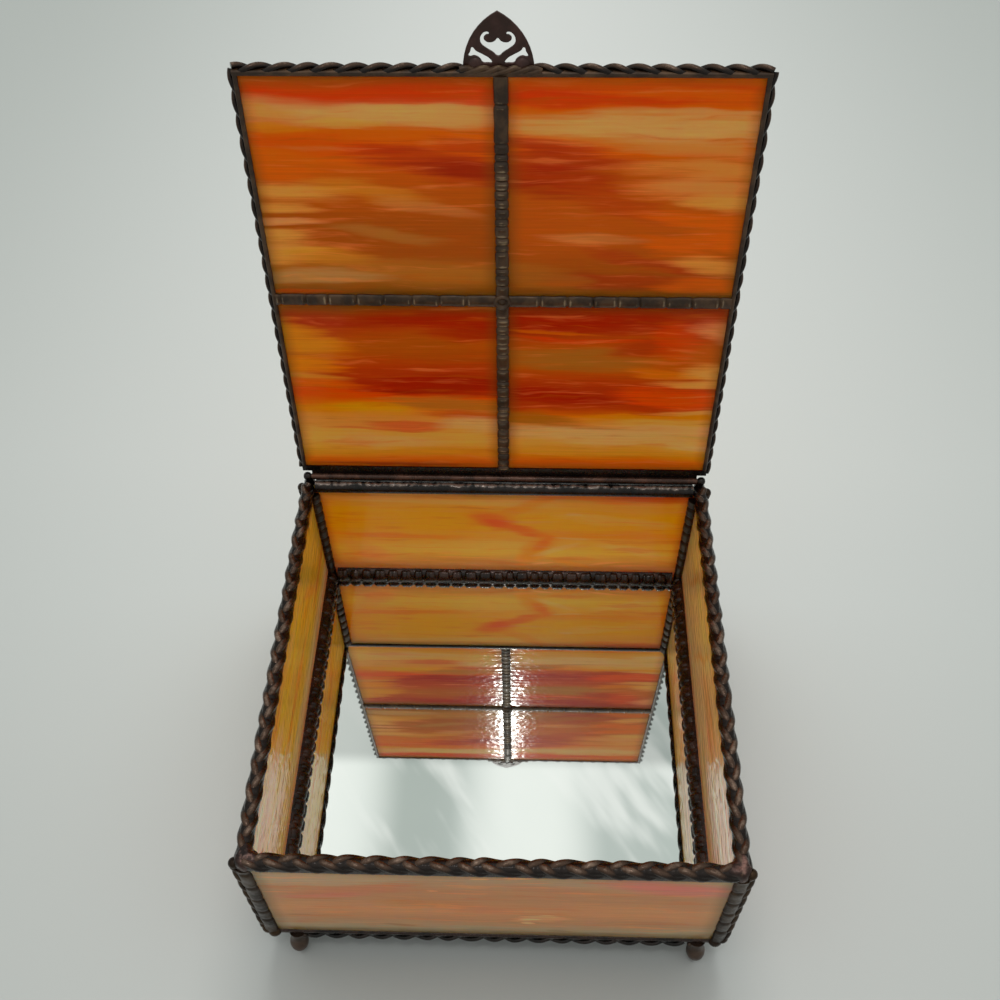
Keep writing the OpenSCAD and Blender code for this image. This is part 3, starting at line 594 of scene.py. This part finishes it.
def wire_tree(name, strands, plaited):
    """A tree that lays strands round a straight path. Lengths are metres, as everywhere in a tree."""
    tree = bpy.data.node_groups.new(name, "GeometryNodeTree")
    inputs = {"Vector": "From To Across Rise", "Float": "Turn Wide High Gauge Start Uneven Seed",
              "Int": "Rings", "Material": "Metal"}
    for kind, labels in inputs.items():
        for label in labels.split():
            tree.interface.new_socket(label, in_out="INPUT", socket_type="NodeSocket" + kind)
    tree.interface.new_socket("Geometry", in_out="OUTPUT", socket_type="NodeSocketGeometry")
    bench = Bench(tree)
    given = bench.make("NodeGroupInput")

    def geometry(kind, values):
        return bench.make("GeometryNode" + kind, None, values)[0]

    def vector_sum(operation, values):
        return bench.make("ShaderNodeVectorMath", {"operation": operation}, values)[0]

    line = geometry("CurvePrimitiveLine", {"Start": given["From"], "End": given["To"]})
    path = geometry("ResampleCurve", {"Curve": line, "Count": given["Rings"]})
    reach = bench.make("GeometryNodeSplineParameter")["Length"]
    loose = bench.make("ShaderNodeTexNoise", {"noise_dimensions": "1D"},
                       {"W": reach * 90.0 + given["Seed"], "Scale": 1.0, "Detail": 1.0})[0] - 0.5
    turn = reach / given["Turn"] * (2 * math.pi) + given["Start"] + loose * given["Uneven"] * 5.0
    profile = geometry("CurvePrimitiveCircle", {"Resolution": 10, "Radius": given["Gauge"]})
    laid = []
    for k in range(strands):
        angle = turn + 2 * math.pi * k / strands
        swing = angle.maths("SINE") * given["Wide"] * (loose * given["Uneven"] + 1.0)
        lift = (angle * 2.0 + 0.6).maths("SINE") if plaited else angle.maths("COSINE")
        aside = vector_sum("SCALE", {0: given["Across"], 3: swing})
        above = vector_sum("SCALE", {0: given["Rise"], 3: lift * given["High"]})
        offset = vector_sum("ADD", {0: aside, 1: above})
        strand = geometry("SetPosition", {"Geometry": path, "Offset": offset})
        laid.append(geometry("CurveToMesh", {"Curve": strand, "Profile Curve": profile, "Fill Caps": True}))
    solid = geometry("RealizeInstances", {0: geometry("JoinGeometry", {0: laid})})
    painted = geometry("SetMaterial", {"Geometry": solid, "Material": given["Metal"]})
    bench.make("NodeGroupOutput", None, {0: painted})
    return tree


TWIST = wire_tree("twisted_wire", 2, False)
PLAIT = wire_tree("plaited_wire", 3, True)


def wire(tree, start, end, across, rise, turn, wide, high, gauge, begin, uneven, seed):
    """One wire grown from its tree, as a shell.

    Its strands swing wide to each side and high up and down, once in each turn, from the angle begin on.
    """
    length = (end - start).length
    holder = add_object("wire_holder", bpy.data.meshes.new("wire_holder"))
    modifier = holder.modifiers.new("wire", "NODES")
    modifier.node_group = tree
    sizes = {"From": start * MM, "To": end * MM, "Across": across, "Rise": rise, "Turn": turn * MM,
             "Wide": wide * MM, "High": high * MM, "Gauge": gauge * MM, "Start": begin, "Uneven": uneven,
             "Seed": seed, "Rings": int(length / min(turn / 26, 0.9)), "Metal": WIRE}
    for item in tree.interface.items_tree:
        if item.in_out == "INPUT":
            value = sizes[item.name]
            modifier[item.identifier] = tuple(value) if isinstance(value, Vector) else value
    # The crest is how far a point stands along rise, so the lighter colour lies on that side; on the rim plaits
    # that is the top, partly worn wire and partly a painted highlight from above.
    return shell_of(mesh_of(holder), start, rise, high + gauge)


# ---- the box's metalwork ----


def rim_braid(name, start, end, across, node, seed):
    """A plait of three wires lying on a wall's rim, on a bed of solder."""
    start, end = (Vector((x, y, 58.3)) for x, y in (start, end))
    plait = wire(PLAIT, start, end, across, Z, 24.6, 1.62, 1.1, 1.24, seed * 1.3, 0.16, seed * 7.0)
    bed = bead(start - Z * 0.8, end - Z * 0.8, across, Z, 2.2, 2.5, sink=1.0, uneven=0.04, seed=seed)
    build(name, [plait, (bed[0], bed[1], [0.1] * len(bed[0]))], WIRE, "box", [node])


rim_braid("plait_front", (-74.4, -73.5), (74.4, -73.5), Y, "rim_braid_front", 1)
for hand, sign in HANDS:
    rim_braid("plait_" + hand, (75 * sign, -73.0), (75 * sign, 73.6), X, "rim_braid_" + hand, 3 + sign)


def rim_pad(name, sign, node):
    """A smooth pad where two plaits run together over a front corner, drawn out along both of them."""
    middle, radius, height = Vector((74.5 * sign, -73.0, 56.2)), 2.95, 4.45
    levels, sides = 18, 48
    corner = math.radians(-45 if sign > 0 else 225)
    rings = []
    for i in range(levels + 1):
        t = math.pi / 2 * i / levels
        flat, lift = max(math.cos(t), 0.0) ** 0.5, height * math.sin(t) ** 0.7
        ring = []
        for k in range(sides):
            a = 2 * math.pi * k / sides
            along_wall = max(0.0, math.cos(a) * -sign) ** 6 * 3.4 + max(0.0, math.sin(a)) ** 6 * 3.0
            knob = 1 + 0.03 * math.sin(3 * a + sign) + 0.025 * math.sin(5 * a + 2)
            reach = (radius + along_wall) * knob * max(flat, THINNEST)
            outer = max(0.0, math.cos(a - corner))
            ring.append(middle + Vector((math.cos(a), math.sin(a), 0)) * reach
                        + Z * (lift * (1 - 0.12 * outer * flat + 0.05 * math.sin(2 * a))))
        rings.append(ring)
    # The crest rises towards the top of the pad: the lighter colour there is partly worn copper and partly a
    # painted highlight, and the lower half is kept dark as painted shadow.
    crests = [0.95 * math.sin(math.pi / 2 * i / levels) ** 1.6
              for i in range(levels + 1) for _ in range(sides)]
    build(name, [skin(rings, crests)], COPPER, "box", [node])


for hand, sign in HANDS:
    rim_pad("pad_" + hand, sign, "rim_corner_" + hand)


def back_rim():
    """The bead on the back wall's rim: a black inner flank, a wavy crest made lighter, partly as worn solder
    and partly as a painted highlight, and a lip towards the tube.

    A point of the section is (y, z, how much it belongs to the crest).
    """
    foot, half, steps, crest_from = 56.2, 72.1, 360, 0.3
    section = [(71.7, 56.6, 0), (71.35, 57.2, 0), (71.5, 58.3, 0.1), (72, 59.3, 0.3), (72.8, 60, 0.8),
               (73.6, 60.35, 1), (74.3, 60.2, 0.8), (74.9, 59.8, 0.3), (75.4, 59.52, 0.2), (75.9, 59.35, 0.1),
               (76.45, 59.25, 0), (76.7, 58.8, 0), (76.5, 57.4, 0), (75.6, 56.4, 0)]
    wander, swell, shift = lumpy(21, 12.0), lumpy(22, 3.4), lumpy(23, 7.0)
    rings, crests = [], []
    for i in range(steps + 1):
        x = -half + 2 * half * i / steps
        more, aside = 1 + 0.09 * wander(x) + 0.05 * swell(x), 0.3 * shift(x)
        rings.append([Vector((x, y + aside * c, foot + (z - foot) * (more if c > crest_from else 1.0)))
                      for y, z, c in section])
        # Along the crest the colour goes lighter: partly worn solder, partly a painted highlight.
        crests += [0.1 + 1.05 * c * (1 + 0.3 * swell(x + 40)) for y, z, c in section]
    build("back_rim_bead", [skin(rings, crests)], BLACK, "box", ["rim_bead_back"])


back_rim()


def rod_sleeve(name, sign, node):
    """The blob of solder run over the rod's bent end and down into the corner."""
    place, sides = Vector((74.8 * sign, HINGE_Y, HINGE_Z)), 24
    stem = [(0, -10.6), (1.2, -10.6), (1.75, -9), (1.9, -6), (2.3, -4.2), (2.1, -3), (1.5, -1.6), (1.35, 0),
            (1.3, 0.6), (0.9, 1.1), (0, 1.25)]
    cap = [(0.0, -0.95), (1.1, -0.9), (1.5, -0.4), (1.65, 0.3), (1.5, 1.1), (1.0, 1.7), (0.0, 1.95)]
    shells = [turned(stem, place, Z, sides), turned(cap, place, X * sign, sides)]
    build(name, shells, BLACK, "box", [node])


for hand, sign in HANDS:
    rod_sleeve("rod_sleeve_" + hand, sign, "rod_solder_" + hand)


def corner_seam(name, sx, sy, node, seed):
    """A lap of solder on both faces of a corner, ribbed like cane, and a lumpy bead inside."""
    dice = random.Random(seed)
    low, high, last_mark = Z * 2.2, Z * 56.0, 50.0
    shells = []
    for face, side, up, half in ((Vector((sx * 74.7, sy * 75.1, 0)), X, Y * sy, 2.1),
                                 (Vector((sx * 76.6, sy * 73.3, 0)), Y, X * sx, 1.9)):
        marks = marks_along(dice, 2.0, last_mark, 7.2, 11.6)
        shells.append(bead(face + low, face + Z * 56.2, side, up, half, 1.15, marks, 0.36, 0.9, 0.09, seed,
                           sink=0.1, ripples=7.0))
    middle = Vector((sx * 72.4, sy * 70.9, 0))
    diagonal = Vector((-sx, -sy, 0)).normalized()
    marks = marks_along(dice, 1.0, last_mark, 4.4, 6.4)
    shells.append(bead(middle + low, middle + high, diagonal.cross(Z), diagonal, 1.95, 1.75, marks, 0.42, 0.7,
                       0.06, seed, sink=1.0, ripples=5.0))
    foot = Vector((sx * 73.5, sy * 72.0, 0))
    section = [(-0.4, -0.4), (-0.4, 1.9), (0.5, 1.7), (1.5, 1.0), (1.9, -0.4)]
    fill = [[foot + end + Vector((-sx * a, -sy * b, 0)) for a, b in section] for end in (low, high)]
    shells.append(skin(fill, 0.2))
    build(name, shells, CANE, "box", [node])


def base_seam(name, wall, sign, reach, node, seed):
    """A flat lap outside and under the wall's foot, and a roped bead in the corner over the mirror."""
    if wall == "y":
        along, out, face, inner = X, Y * sign, WALL_Y, 72.0
    else:
        along, out, face, inner = Y, X * sign, WALL_X, 73.5
    far, outside, below = along * reach, out * face + Z * 0.95, out * (face - 3.2)
    lap = bead(outside - far, far + outside, Z, out, 1.25, 0.6, uneven=0.12, seed=seed, sink=0.05, step=0.8)
    under = bead(below - far, far + below, out, -Z, 3.3, 0.5, uneven=0.05, seed=seed + 1, sink=0.02, step=1.2)
    middle, far = out * (inner - 1.7) + Z * (MIRROR_TOP + 2.5), along * (reach - 6)
    marks = marks_along(random.Random(seed), 0.0, 2 * reach - 14, 4.4, 6.2)
    across, slope = (Z + out * 0.9).normalized(), (Z - out * 0.9).normalized()
    rope = bead(middle - far, far + middle, across, slope, 2.7, 2.0, marks, 0.56, 0.7, 0.07, seed, sink=1.2)
    wide, high, steps = 3.4, 5.2, 6
    arc = [(0.3, 0.0), (0.3, high)] + [(-wide * math.sin(t), high * math.cos(t)) for t in
                                       (math.pi / 2 * k / steps for k in range(1, steps + 1))]
    bed = [[along * (side * (reach - 5.6)) + out * (inner + a) + Z * (MIRROR_TOP + b) for a, b in arc]
           for side in (-1, 1)]
    build(name, [lap, under, rope, skin(bed, 0.15)], INNER, "box", [node])


def edge_wire(name, start, end, across, rise, node, gauge, wide, high, turn, seed, core, body="box", ends=(),
              metal=WIRE):
    """A twisted wire tinned down along an edge.

    core is the half width, height and sink of the solder between its strands. ends are (place, radius) of
    the drops that close it.
    """
    shells = [wire(TWIST, start, end, across, rise, turn, wide, high, gauge, seed * 1.1, 0.12, seed * 3.0)]
    half, height, sink = core
    low = rise * 0.4
    fill = bead(start - low, end - low, across, rise, half, height, uneven=0.08, seed=seed, sink=sink)
    shells.append((fill[0], fill[1], [0.3] * len(fill[0])))
    shells += [ball(at, radius, radius, 10, 16) for at, radius in ends]
    build(name, shells, metal, body, [node])


BASE_TURN, BASE_CORE = 15.2, (0.9, 0.3, 0.5)
for depth, sy in DEPTHS:
    base_seam("foot_seam_" + depth, "y", sy, 75.4, "base_seam_" + depth, 31 + sy)
    left, right = (Vector((63.9 * sx, 74.6 * sy, -1.1)) for sx in (-1, 1))
    edge_wire("foot_wire_" + depth, left, right, Y * sy, -Z, "base_wire_" + depth, 0.8, 1.15, 0.75, BASE_TURN,
              4 + sy, BASE_CORE, metal=BLACK)
    for hand, sx in HANDS:
        corner = depth + "_" + hand
        corner_seam("cane_" + corner, sx, sy, "corner_seam_" + corner, 40 + sx + 2 * sy)
        foot = Vector((77.2 * sx, 73.6 * sy, 0))
        drops = [(Vector((76.3 * sx, 74.2 * sy, 2.6)), 2.2), (Vector((74.2 * sx, 74.7 * sy, 1.1)), 2.4),
                 (foot + Vector((0.2 * sx, 0, 57.3)), 1.8)]
        edge_wire("corner_twist_" + corner, foot + Z * 3.6, foot + Z * 57.8, Y, X * sx,
                  "corner_wire_" + corner, 0.9, 1.05, 1.0, 15.4, 11 + sx + 2 * sy, (1.1, 0.3, 0.5),
                  ends=drops, metal=CANE)
for hand, sx in HANDS:
    base_seam("foot_seam_" + hand, "x", sx, 75.1, "base_seam_" + hand, 35 + sx)
    near, far = (Vector((75.9 * sx, 71.4 * sy, -1.05)) for sy in (-1, 1))
    edge_wire("foot_wire_" + hand, near, far, X * sx, -Z, "base_wire_" + hand, 0.8, 1.0, 0.7, BASE_TURN,
              8 + sx, BASE_CORE, metal=BLACK)


def ball_foot(name, sx, sy, node):
    """A turned ball that leans a little outwards, with a drop of solder beside its neck."""
    profile = [(0, -13.38), (0.35, -13.2), (0.9, -12.5), (1.6, -11.5), (2.3, -10.3), (2.85, -9.2),
               (3.15, -8.1), (3.2, -7), (3.05, -6), (2.75, -5.2), (2.6, -4.4), (2.6, -3), (2.65, -2),
               (2.8, -1.2), (3, -0.6), (3, -0.5), (0, -0.5)]
    middle, lean = Vector((67.6 * sx + 0.8, 73.9 * sy, 0)), Vector((-0.03 * sx, -0.24 * sy, 1))
    drop = ball(middle + Vector((-2.5 * sx, 1.7 * sy, -1.2)), 0.9, 0.8, 8, 14)
    build(name, [turned(profile, middle, lean, 32), drop], FOOT_METAL, "box", [node])


for depth, sy in DEPTHS:
    for hand, sx in HANDS:
        ball_foot("ball_%s_%s" % (depth, hand), sx, sy, "foot_%s_%s" % (depth, hand))

# ---- the lid's metalwork ----


def lid_seam(name, start, end, side, node, marks, seed):
    """The two beads of one seam between panes, pinched where the iron was lifted."""
    shells = []
    for face, up in ((LID_IN, -LID_OUT), (LID_GLASS_OUT, LID_OUT)):
        first, last = (on_lid(x, forward, face) for x, forward in (start, end))
        shells.append(bead(first, last, side, up, 2.15, 1.05, marks, 0.42, 0.42, 0.05, seed, ridge=0.2))
    build(name, shells, SOLDER, "lid", [node])


def pinches(length, steps, seed):
    """Where a seam is pinched: a step is (how far it goes, shortest stretch, longest stretch)."""
    dice, found = random.Random(seed), [1.2]
    for until, short, long in steps:
        found += marks_along(dice, found[-1], until, short, long)
    return [at for at in found[1:] if at < length - 1]


for (hand, sx), seed in zip(HANDS, (5, 6)):
    lid_seam("cane_lid_" + hand, (2.0 * sx, LID_CROSS), (75.6 * sx, LID_CROSS), LID_FORWARD,
             "lid_seam_" + hand, pinches(73, [(80, 7.4, 9.6)], seed), 56 + seed)
lid_seam("cane_lid_front", (0, LID_CROSS + 2), (0, LID_FRONT - 1), X, "lid_seam_front",
         pinches(75, [(8, 2.5, 4), (14, 4, 7), (50, 2.2, 4.2), (52, 3, 4), (75, 12, 16)], 8), 63)
lid_seam("cane_lid_back", (0, LID_CROSS - 2), (0, 4.4), X, "lid_seam_back",
         pinches(74, [(12, 3.0, 4.5), (20, 4.0, 9.0), (75, 2.6, 5.6)], 9), 64)

knot = []
for face, up in ((LID_IN, -LID_OUT), (LID_GLASS_OUT, LID_OUT)):
    ring = [(0, 1.35), (0.35, 1.3), (0.8, 0.95), (1.2, 0.9), (1.6, 1.35), (2.05, 1.7), (2.5, 1.6),
            (2.9, 1.05), (3.05, 0.4), (3.05, -0.3), (0, -0.3)]
    knot.append(turned(ring, on_lid(0, LID_CROSS, face), up, 32))
build("ringed_knot", knot, SOLDER, "lid", ["lid_knot"])


def lid_edge(name, start, end, out, node, seed):
    """The foil and solder wrapped round one edge of the lid."""
    lower = [(-1.25, -1.5), (-1.25, -1.75), (-1.0, -1.95), (-0.3, -2.05), (0.1, -1.9), (0.28, -1.5)]
    section = lower + [(0.34, 0)] + [(u, -v) for u, v in reversed(lower)] + [(-0.1, 1.45), (-0.1, -1.45)]
    wander, swell = lumpy(seed, 6.0), lumpy(seed + 9, 1.8)
    length, step, lap = (end - start).length, 0.7, 1.6
    count = int(length / step)
    rings = []
    for i in range(count + 1):
        s = length * i / count
        more = 1 + 0.05 * wander(s) + 0.04 * swell(s)
        rings.append([start + (end - start) * (i / count) + out * (u * (more if u > 0 else 2 - more))
                      + LID_OUT * (v * (more if abs(v) > lap else 1)) for u, v in section])
    shells = [skin(rings, 0.62)]
    if out == LID_FORWARD:
        # In front of the pull the band is a lumpy bead that hides the stamping's foot.
        low, high = (on_lid(11.6 * side, LID_FRONT + 0.45, LID_IN + 0.25) for side in (-1, 1))
        shells.append(wire(TWIST, low, high, LID_OUT, LID_FORWARD, 9.4, 0.3, 0.6, 0.85, 2.2, 0.3, 5.0))
    build(name, shells, SOLDER, "lid", [node], 60)


left, right = on_lid(-76.8, LID_FRONT), on_lid(76.8, LID_FRONT)
lid_edge("lid_wrap_front", left, right, LID_FORWARD, "lid_edge_front", 71)
LID_TURN = 13.8
for hand, sx in HANDS:
    lid_edge("lid_wrap_" + hand, on_lid(LID_SIDE * sx, 4.3), on_lid(LID_SIDE * sx, 157.0), X * sx,
             "lid_edge_" + hand, 72 + sx)
    edge_wire("lid_twist_" + hand, on_lid(76.8 * sx, 2.9), on_lid(76.8 * sx, 157.2), LID_OUT, X * sx,
              "lid_braid_" + hand, 0.85, 0.95, 0.85, LID_TURN, 15 + sx, (1.4, 0.4, 0.3), "lid")
    corner, middle = (on_lid(x * sx, LID_FRONT + 0.1) for x in (76.9, 9.6))
    edge_wire("lid_front_twist_" + hand, corner, middle, LID_OUT, LID_FORWARD, "lid_braid_front_" + hand,
              0.95, 1.1, 0.95, LID_TURN, 18 + sx, (1.6, 0.6, 0.4), "lid")

# ---- the pull: a pointed stamping pierced with a heart ----


def pull():
    """The stamping cut out of its outline, and the two domes on it."""
    flat = bpy.data.curves.new("pull_outline", "CURVE")
    flat.dimensions, flat.fill_mode, flat.resolution_u = "2D", "BOTH", 8
    flat.extrude, flat.bevel_depth, flat.bevel_resolution = 0.28 * MM, 0.17 * MM, 2

    def ring(points, handle="AUTO"):
        spline = flat.splines.new("BEZIER")
        spline.bezier_points.add(len(points) - 1)
        spline.use_cyclic_u = True
        for point, (x, y) in zip(spline.bezier_points, points):
            point.co = (x * MM, y * MM, 0)
            point.handle_left_type = point.handle_right_type = handle

    half, tall, steps = 10.0, 16.2, 9
    radius = (half * half + tall * tall) / (2 * half)
    rising = [math.asin(tall / radius) * k / steps for k in range(steps + 1)]
    left = [(radius - half - radius * math.cos(t), radius * math.sin(t)) for t in rising]
    ring(left + [(-x, y) for x, y in reversed(left[:-1])] + [(9.4, -0.1), (-9.4, -0.1)], "VECTOR")
    heart = [(-5.1, 8.7), (-4.6, 10.1), (-3.3, 11.0), (-2.35, 10.7), (-2.3, 10.1), (-3.3, 9.7), (-3.75, 9.1),
             (-3.2, 8.3), (-2.1, 8.05), (-1.0, 8.4), (0, 9.25)]
    low = [(-4.75, 7.3), (-3.5, 6.2), (-1.6, 5.0), (0, 3.9)]
    ring(heart + [(-x, y) for x, y in reversed(heart[:-1])] + [(-x, y) for x, y in low] + low[-2::-1])
    for sign in (-1, 1):
        ring([(x * sign, y) for x, y in
              ((7.3, 6.7), (8.0, 5.4), (8.5, 4.0), (8.0, 3.75), (6.7, 3.95), (5.3, 3.2), (4.5, 2.1),
               (3.0, 1.95), (1.7, 2.15), (2.2, 3.3), (4.3, 4.7), (6.2, 5.7))])
    points, faces, crests = shell_of(mesh_of(add_object("pull_outline", flat)))
    lean, aside = 0.024, 0.6
    points = [on_lid(p.x - aside - p.y * lean, LID_FRONT + 0.1 + p.y, LID_MIDDLE + p.z) for p in points]
    dome = [(0, 1.05), (0.8, 0.98), (1.5, 0.78), (2.0, 0.45), (2.25, 0.1), (2.25, 0.0), (0, 0)]
    dots = [turned(dome, on_lid(6.6 * sign - aside, LID_FRONT + 1.5, LID_MIDDLE - 0.3), -LID_OUT, 24)
            for sign in (-1, 1)]
    build("pointed_pull", [(points, outward(points, faces), crests)] + dots, PULL_METAL, "lid",
          ["lid_pull"], 35)


pull()

# ---- the CAD pieces that stay, each with its own finish ----


def finish_node(node, material):
    piece = frame["nodes"][node]
    piece.data.materials.clear()
    piece.data.materials.append(material)


for pane, recipe in PANES.items():
    finish_node(pane, streaky_glass("glass_" + pane, **recipe))
finish_node("base_mirror", MIRROR)
for node in frame["nodes"]:
    if node.startswith("rim_foil") or node == "lid_edge_back":
        finish_node(node, BLACK)
    elif node in ("hinge_rod", "hinge_tube"):
        finish_node(node, HINGE_METAL)

# The hidden CAD solids keep the finish of the piece that stands for them.
for piece in list(bpy.context.scene.objects):
    for node in piece.get("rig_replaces", []):
        finish_node(node, piece.data.materials[0])

# ---- the stage: floor, light, view ----


def lay_floor():
    mesh = bpy.data.meshes.new("table_top")
    edge, level = 3000.0 * MM, FLOOR_Z * MM
    corners = [(-edge, -edge, level), (edge, -edge, level), (edge, edge, level), (-edge, edge, level)]
    mesh.from_pydata(corners, [], [(0, 1, 2, 3)])
    material, bench, place = finish_bench("pale_card")
    x, y, _ = bench.parts(place)
    # Painted light and shadow: the card is painted darker away from the middle, and darker again towards the
    # front of the box.
    painted_front_shadow = (y * -1.2 + 0.18).maths("MAXIMUM", 0.0)
    painted_falloff = (x.maths("ABSOLUTE") * 2.4 + y.maths("MAXIMUM", 0.0) * 0.4 + painted_front_shadow).smooth(0.05, 1.15)
    bench.coat({"Base Color": bench.mix(painted_falloff, tone("D0D4D1"), tone("AFB5B1")), "Roughness": 0.6})
    mesh.materials.append(material)
    floor = add_object("table_top", mesh)


OVERHEAD = 0.2  # how steeply a ray has to rise before it counts as going to the ceiling
CAMERA_PLACE = Vector((9.202, -197.342, 382.369))
CAMERA_TURN = (50.687, -2.238, -0.929)  # down, aside and rolled, in degrees
CAMERA_LENS, CAMERA_FILM = 39.787, 36.0


def light_world():
    """Soft daylight from above and behind, and a pale room for the camera, the mirror and the metal."""
    world = bpy.data.worlds.new("daylight")
    bpy.context.scene.world = world
    world.use_nodes = True
    bench = Bench(world.node_tree)
    rays = bench.make("ShaderNodeLightPath")
    way = bench.make("ShaderNodeTexCoord")["Generated"]
    x, y, z = bench.parts(way)
    behind = (y * 0.75 + z * 0.35).smooth(-0.6, 0.66)
    sky = bench.mix(behind, (0.17, 0.17, 0.17, 1.0), (0.95, 0.96, 0.95, 1.0))
    sky = bench.mix(z.smooth(0.6, 0.0) * 0.7, sky, (0.0, 0.0, 0.0, 1.0))
    # Two soft screens over the box, drawn out from front to back, with dimmer air between them.
    aside = x / z.maths("MAXIMUM", OVERHEAD)
    screens = ((aside + 0.20) / 0.07, (aside - 0.005) / 0.06)
    lit = sum(((one * one).smooth(1.6, 0.0) for one in screens), 0.0)
    cloud = bench.noise(way, 3.0, 2.0, 0.5)
    room = bench.mix(cloud.smooth(0.3, 0.7), tone("C2C9C5"), tone("D0D6D2"))
    dim = (aside + 0.105) / 0.045
    room = bench.mix((dim * dim).smooth(1.6, 0.0) * 0.45, room, tone("A0A8A2"))
    room = bench.mix(lit, room, tone("FAFCF8"))
    ahead = y / z.maths("MAXIMUM", OVERHEAD)
    slanted = bench.vector((aside + ahead * 0.7) * 22.0, (ahead - aside) * 4.0, 0.0)
    shafts = bench.noise(slanted, 1.0, 3.0, 0.5)
    room = bench.mix(shafts.smooth(0.50, 0.68) * 0.7, room, tone("FFFFFC"))
    # Beyond a straight edge overhead the ceiling is out of the light.
    room = bench.mix(ahead.smooth(0.478, 0.496) * 0.42, room, tone("6E7472"))
    room = bench.mix(z.smooth(0.75, 0.2) * 0.6, room, tone("8A8C88"))
    glossy = bench.mix(rays["Is Glossy Ray"], sky, room)
    pale = rays["Is Camera Ray"].maths("MAXIMUM", rays["Is Transmission Ray"])
    colour = bench.mix(pale, glossy, tone("D8DDD9"))
    air = bench.make("ShaderNodeBackground", None, {"Color": colour, "Strength": 1.0})
    bench.make("ShaderNodeOutputWorld", None, {0: air[0]})


def hang_lamp(name, watts, size, place, colour, in_mirrors=True):
    """A round lamp that looks at the box. Its size and place are in metres."""
    aim = Vector((0, 0, 0.05))
    lamp = bpy.data.lights.new(name, "AREA")
    lamp.energy, lamp.shape, lamp.size, lamp.color = watts, "DISK", size, colour
    holder = add_object(name, lamp)
    holder.location = place
    holder.visible_glossy = in_mirrors
    holder.rotation_euler = (aim - Vector(place)).to_track_quat("-Z", "Y").to_euler()


def set_camera():
    """The camera as it was fitted to the corners of the box and the lid."""
    pitch, yaw, roll = (math.radians(value) for value in CAMERA_TURN)
    look = Vector((math.sin(yaw) * math.cos(pitch), math.cos(yaw) * math.cos(pitch), -math.sin(pitch)))
    level = Vector((math.cos(yaw), -math.sin(yaw), 0))
    over = level.cross(look)
    right = level * math.cos(roll) + over * math.sin(roll)
    up = over * math.cos(roll) - level * math.sin(roll)
    lens = bpy.data.cameras.new("view")
    lens.sensor_width, lens.sensor_fit = CAMERA_FILM, "HORIZONTAL"
    lens.lens, lens.clip_start = CAMERA_LENS, 10.0 * MM
    camera = add_object("view", lens)
    turn = Matrix((right, up, -look)).transposed().to_4x4()
    camera.matrix_world = Matrix.Translation(CAMERA_PLACE * MM) @ turn
    bpy.context.scene.camera = camera


lay_floor()
light_world()
hang_lamp("window", watts=7.6, size=0.7, place=(0.03, 0.62, 1.25), colour=(1.0, 0.99, 0.97), in_mirrors=False)
hang_lamp("glint", watts=0.9, size=0.022, place=(-0.02, -0.30, 1.5), colour=(1.0, 0.98, 0.95))
set_camera()
bpy.context.scene.view_settings.view_transform = "Standard"
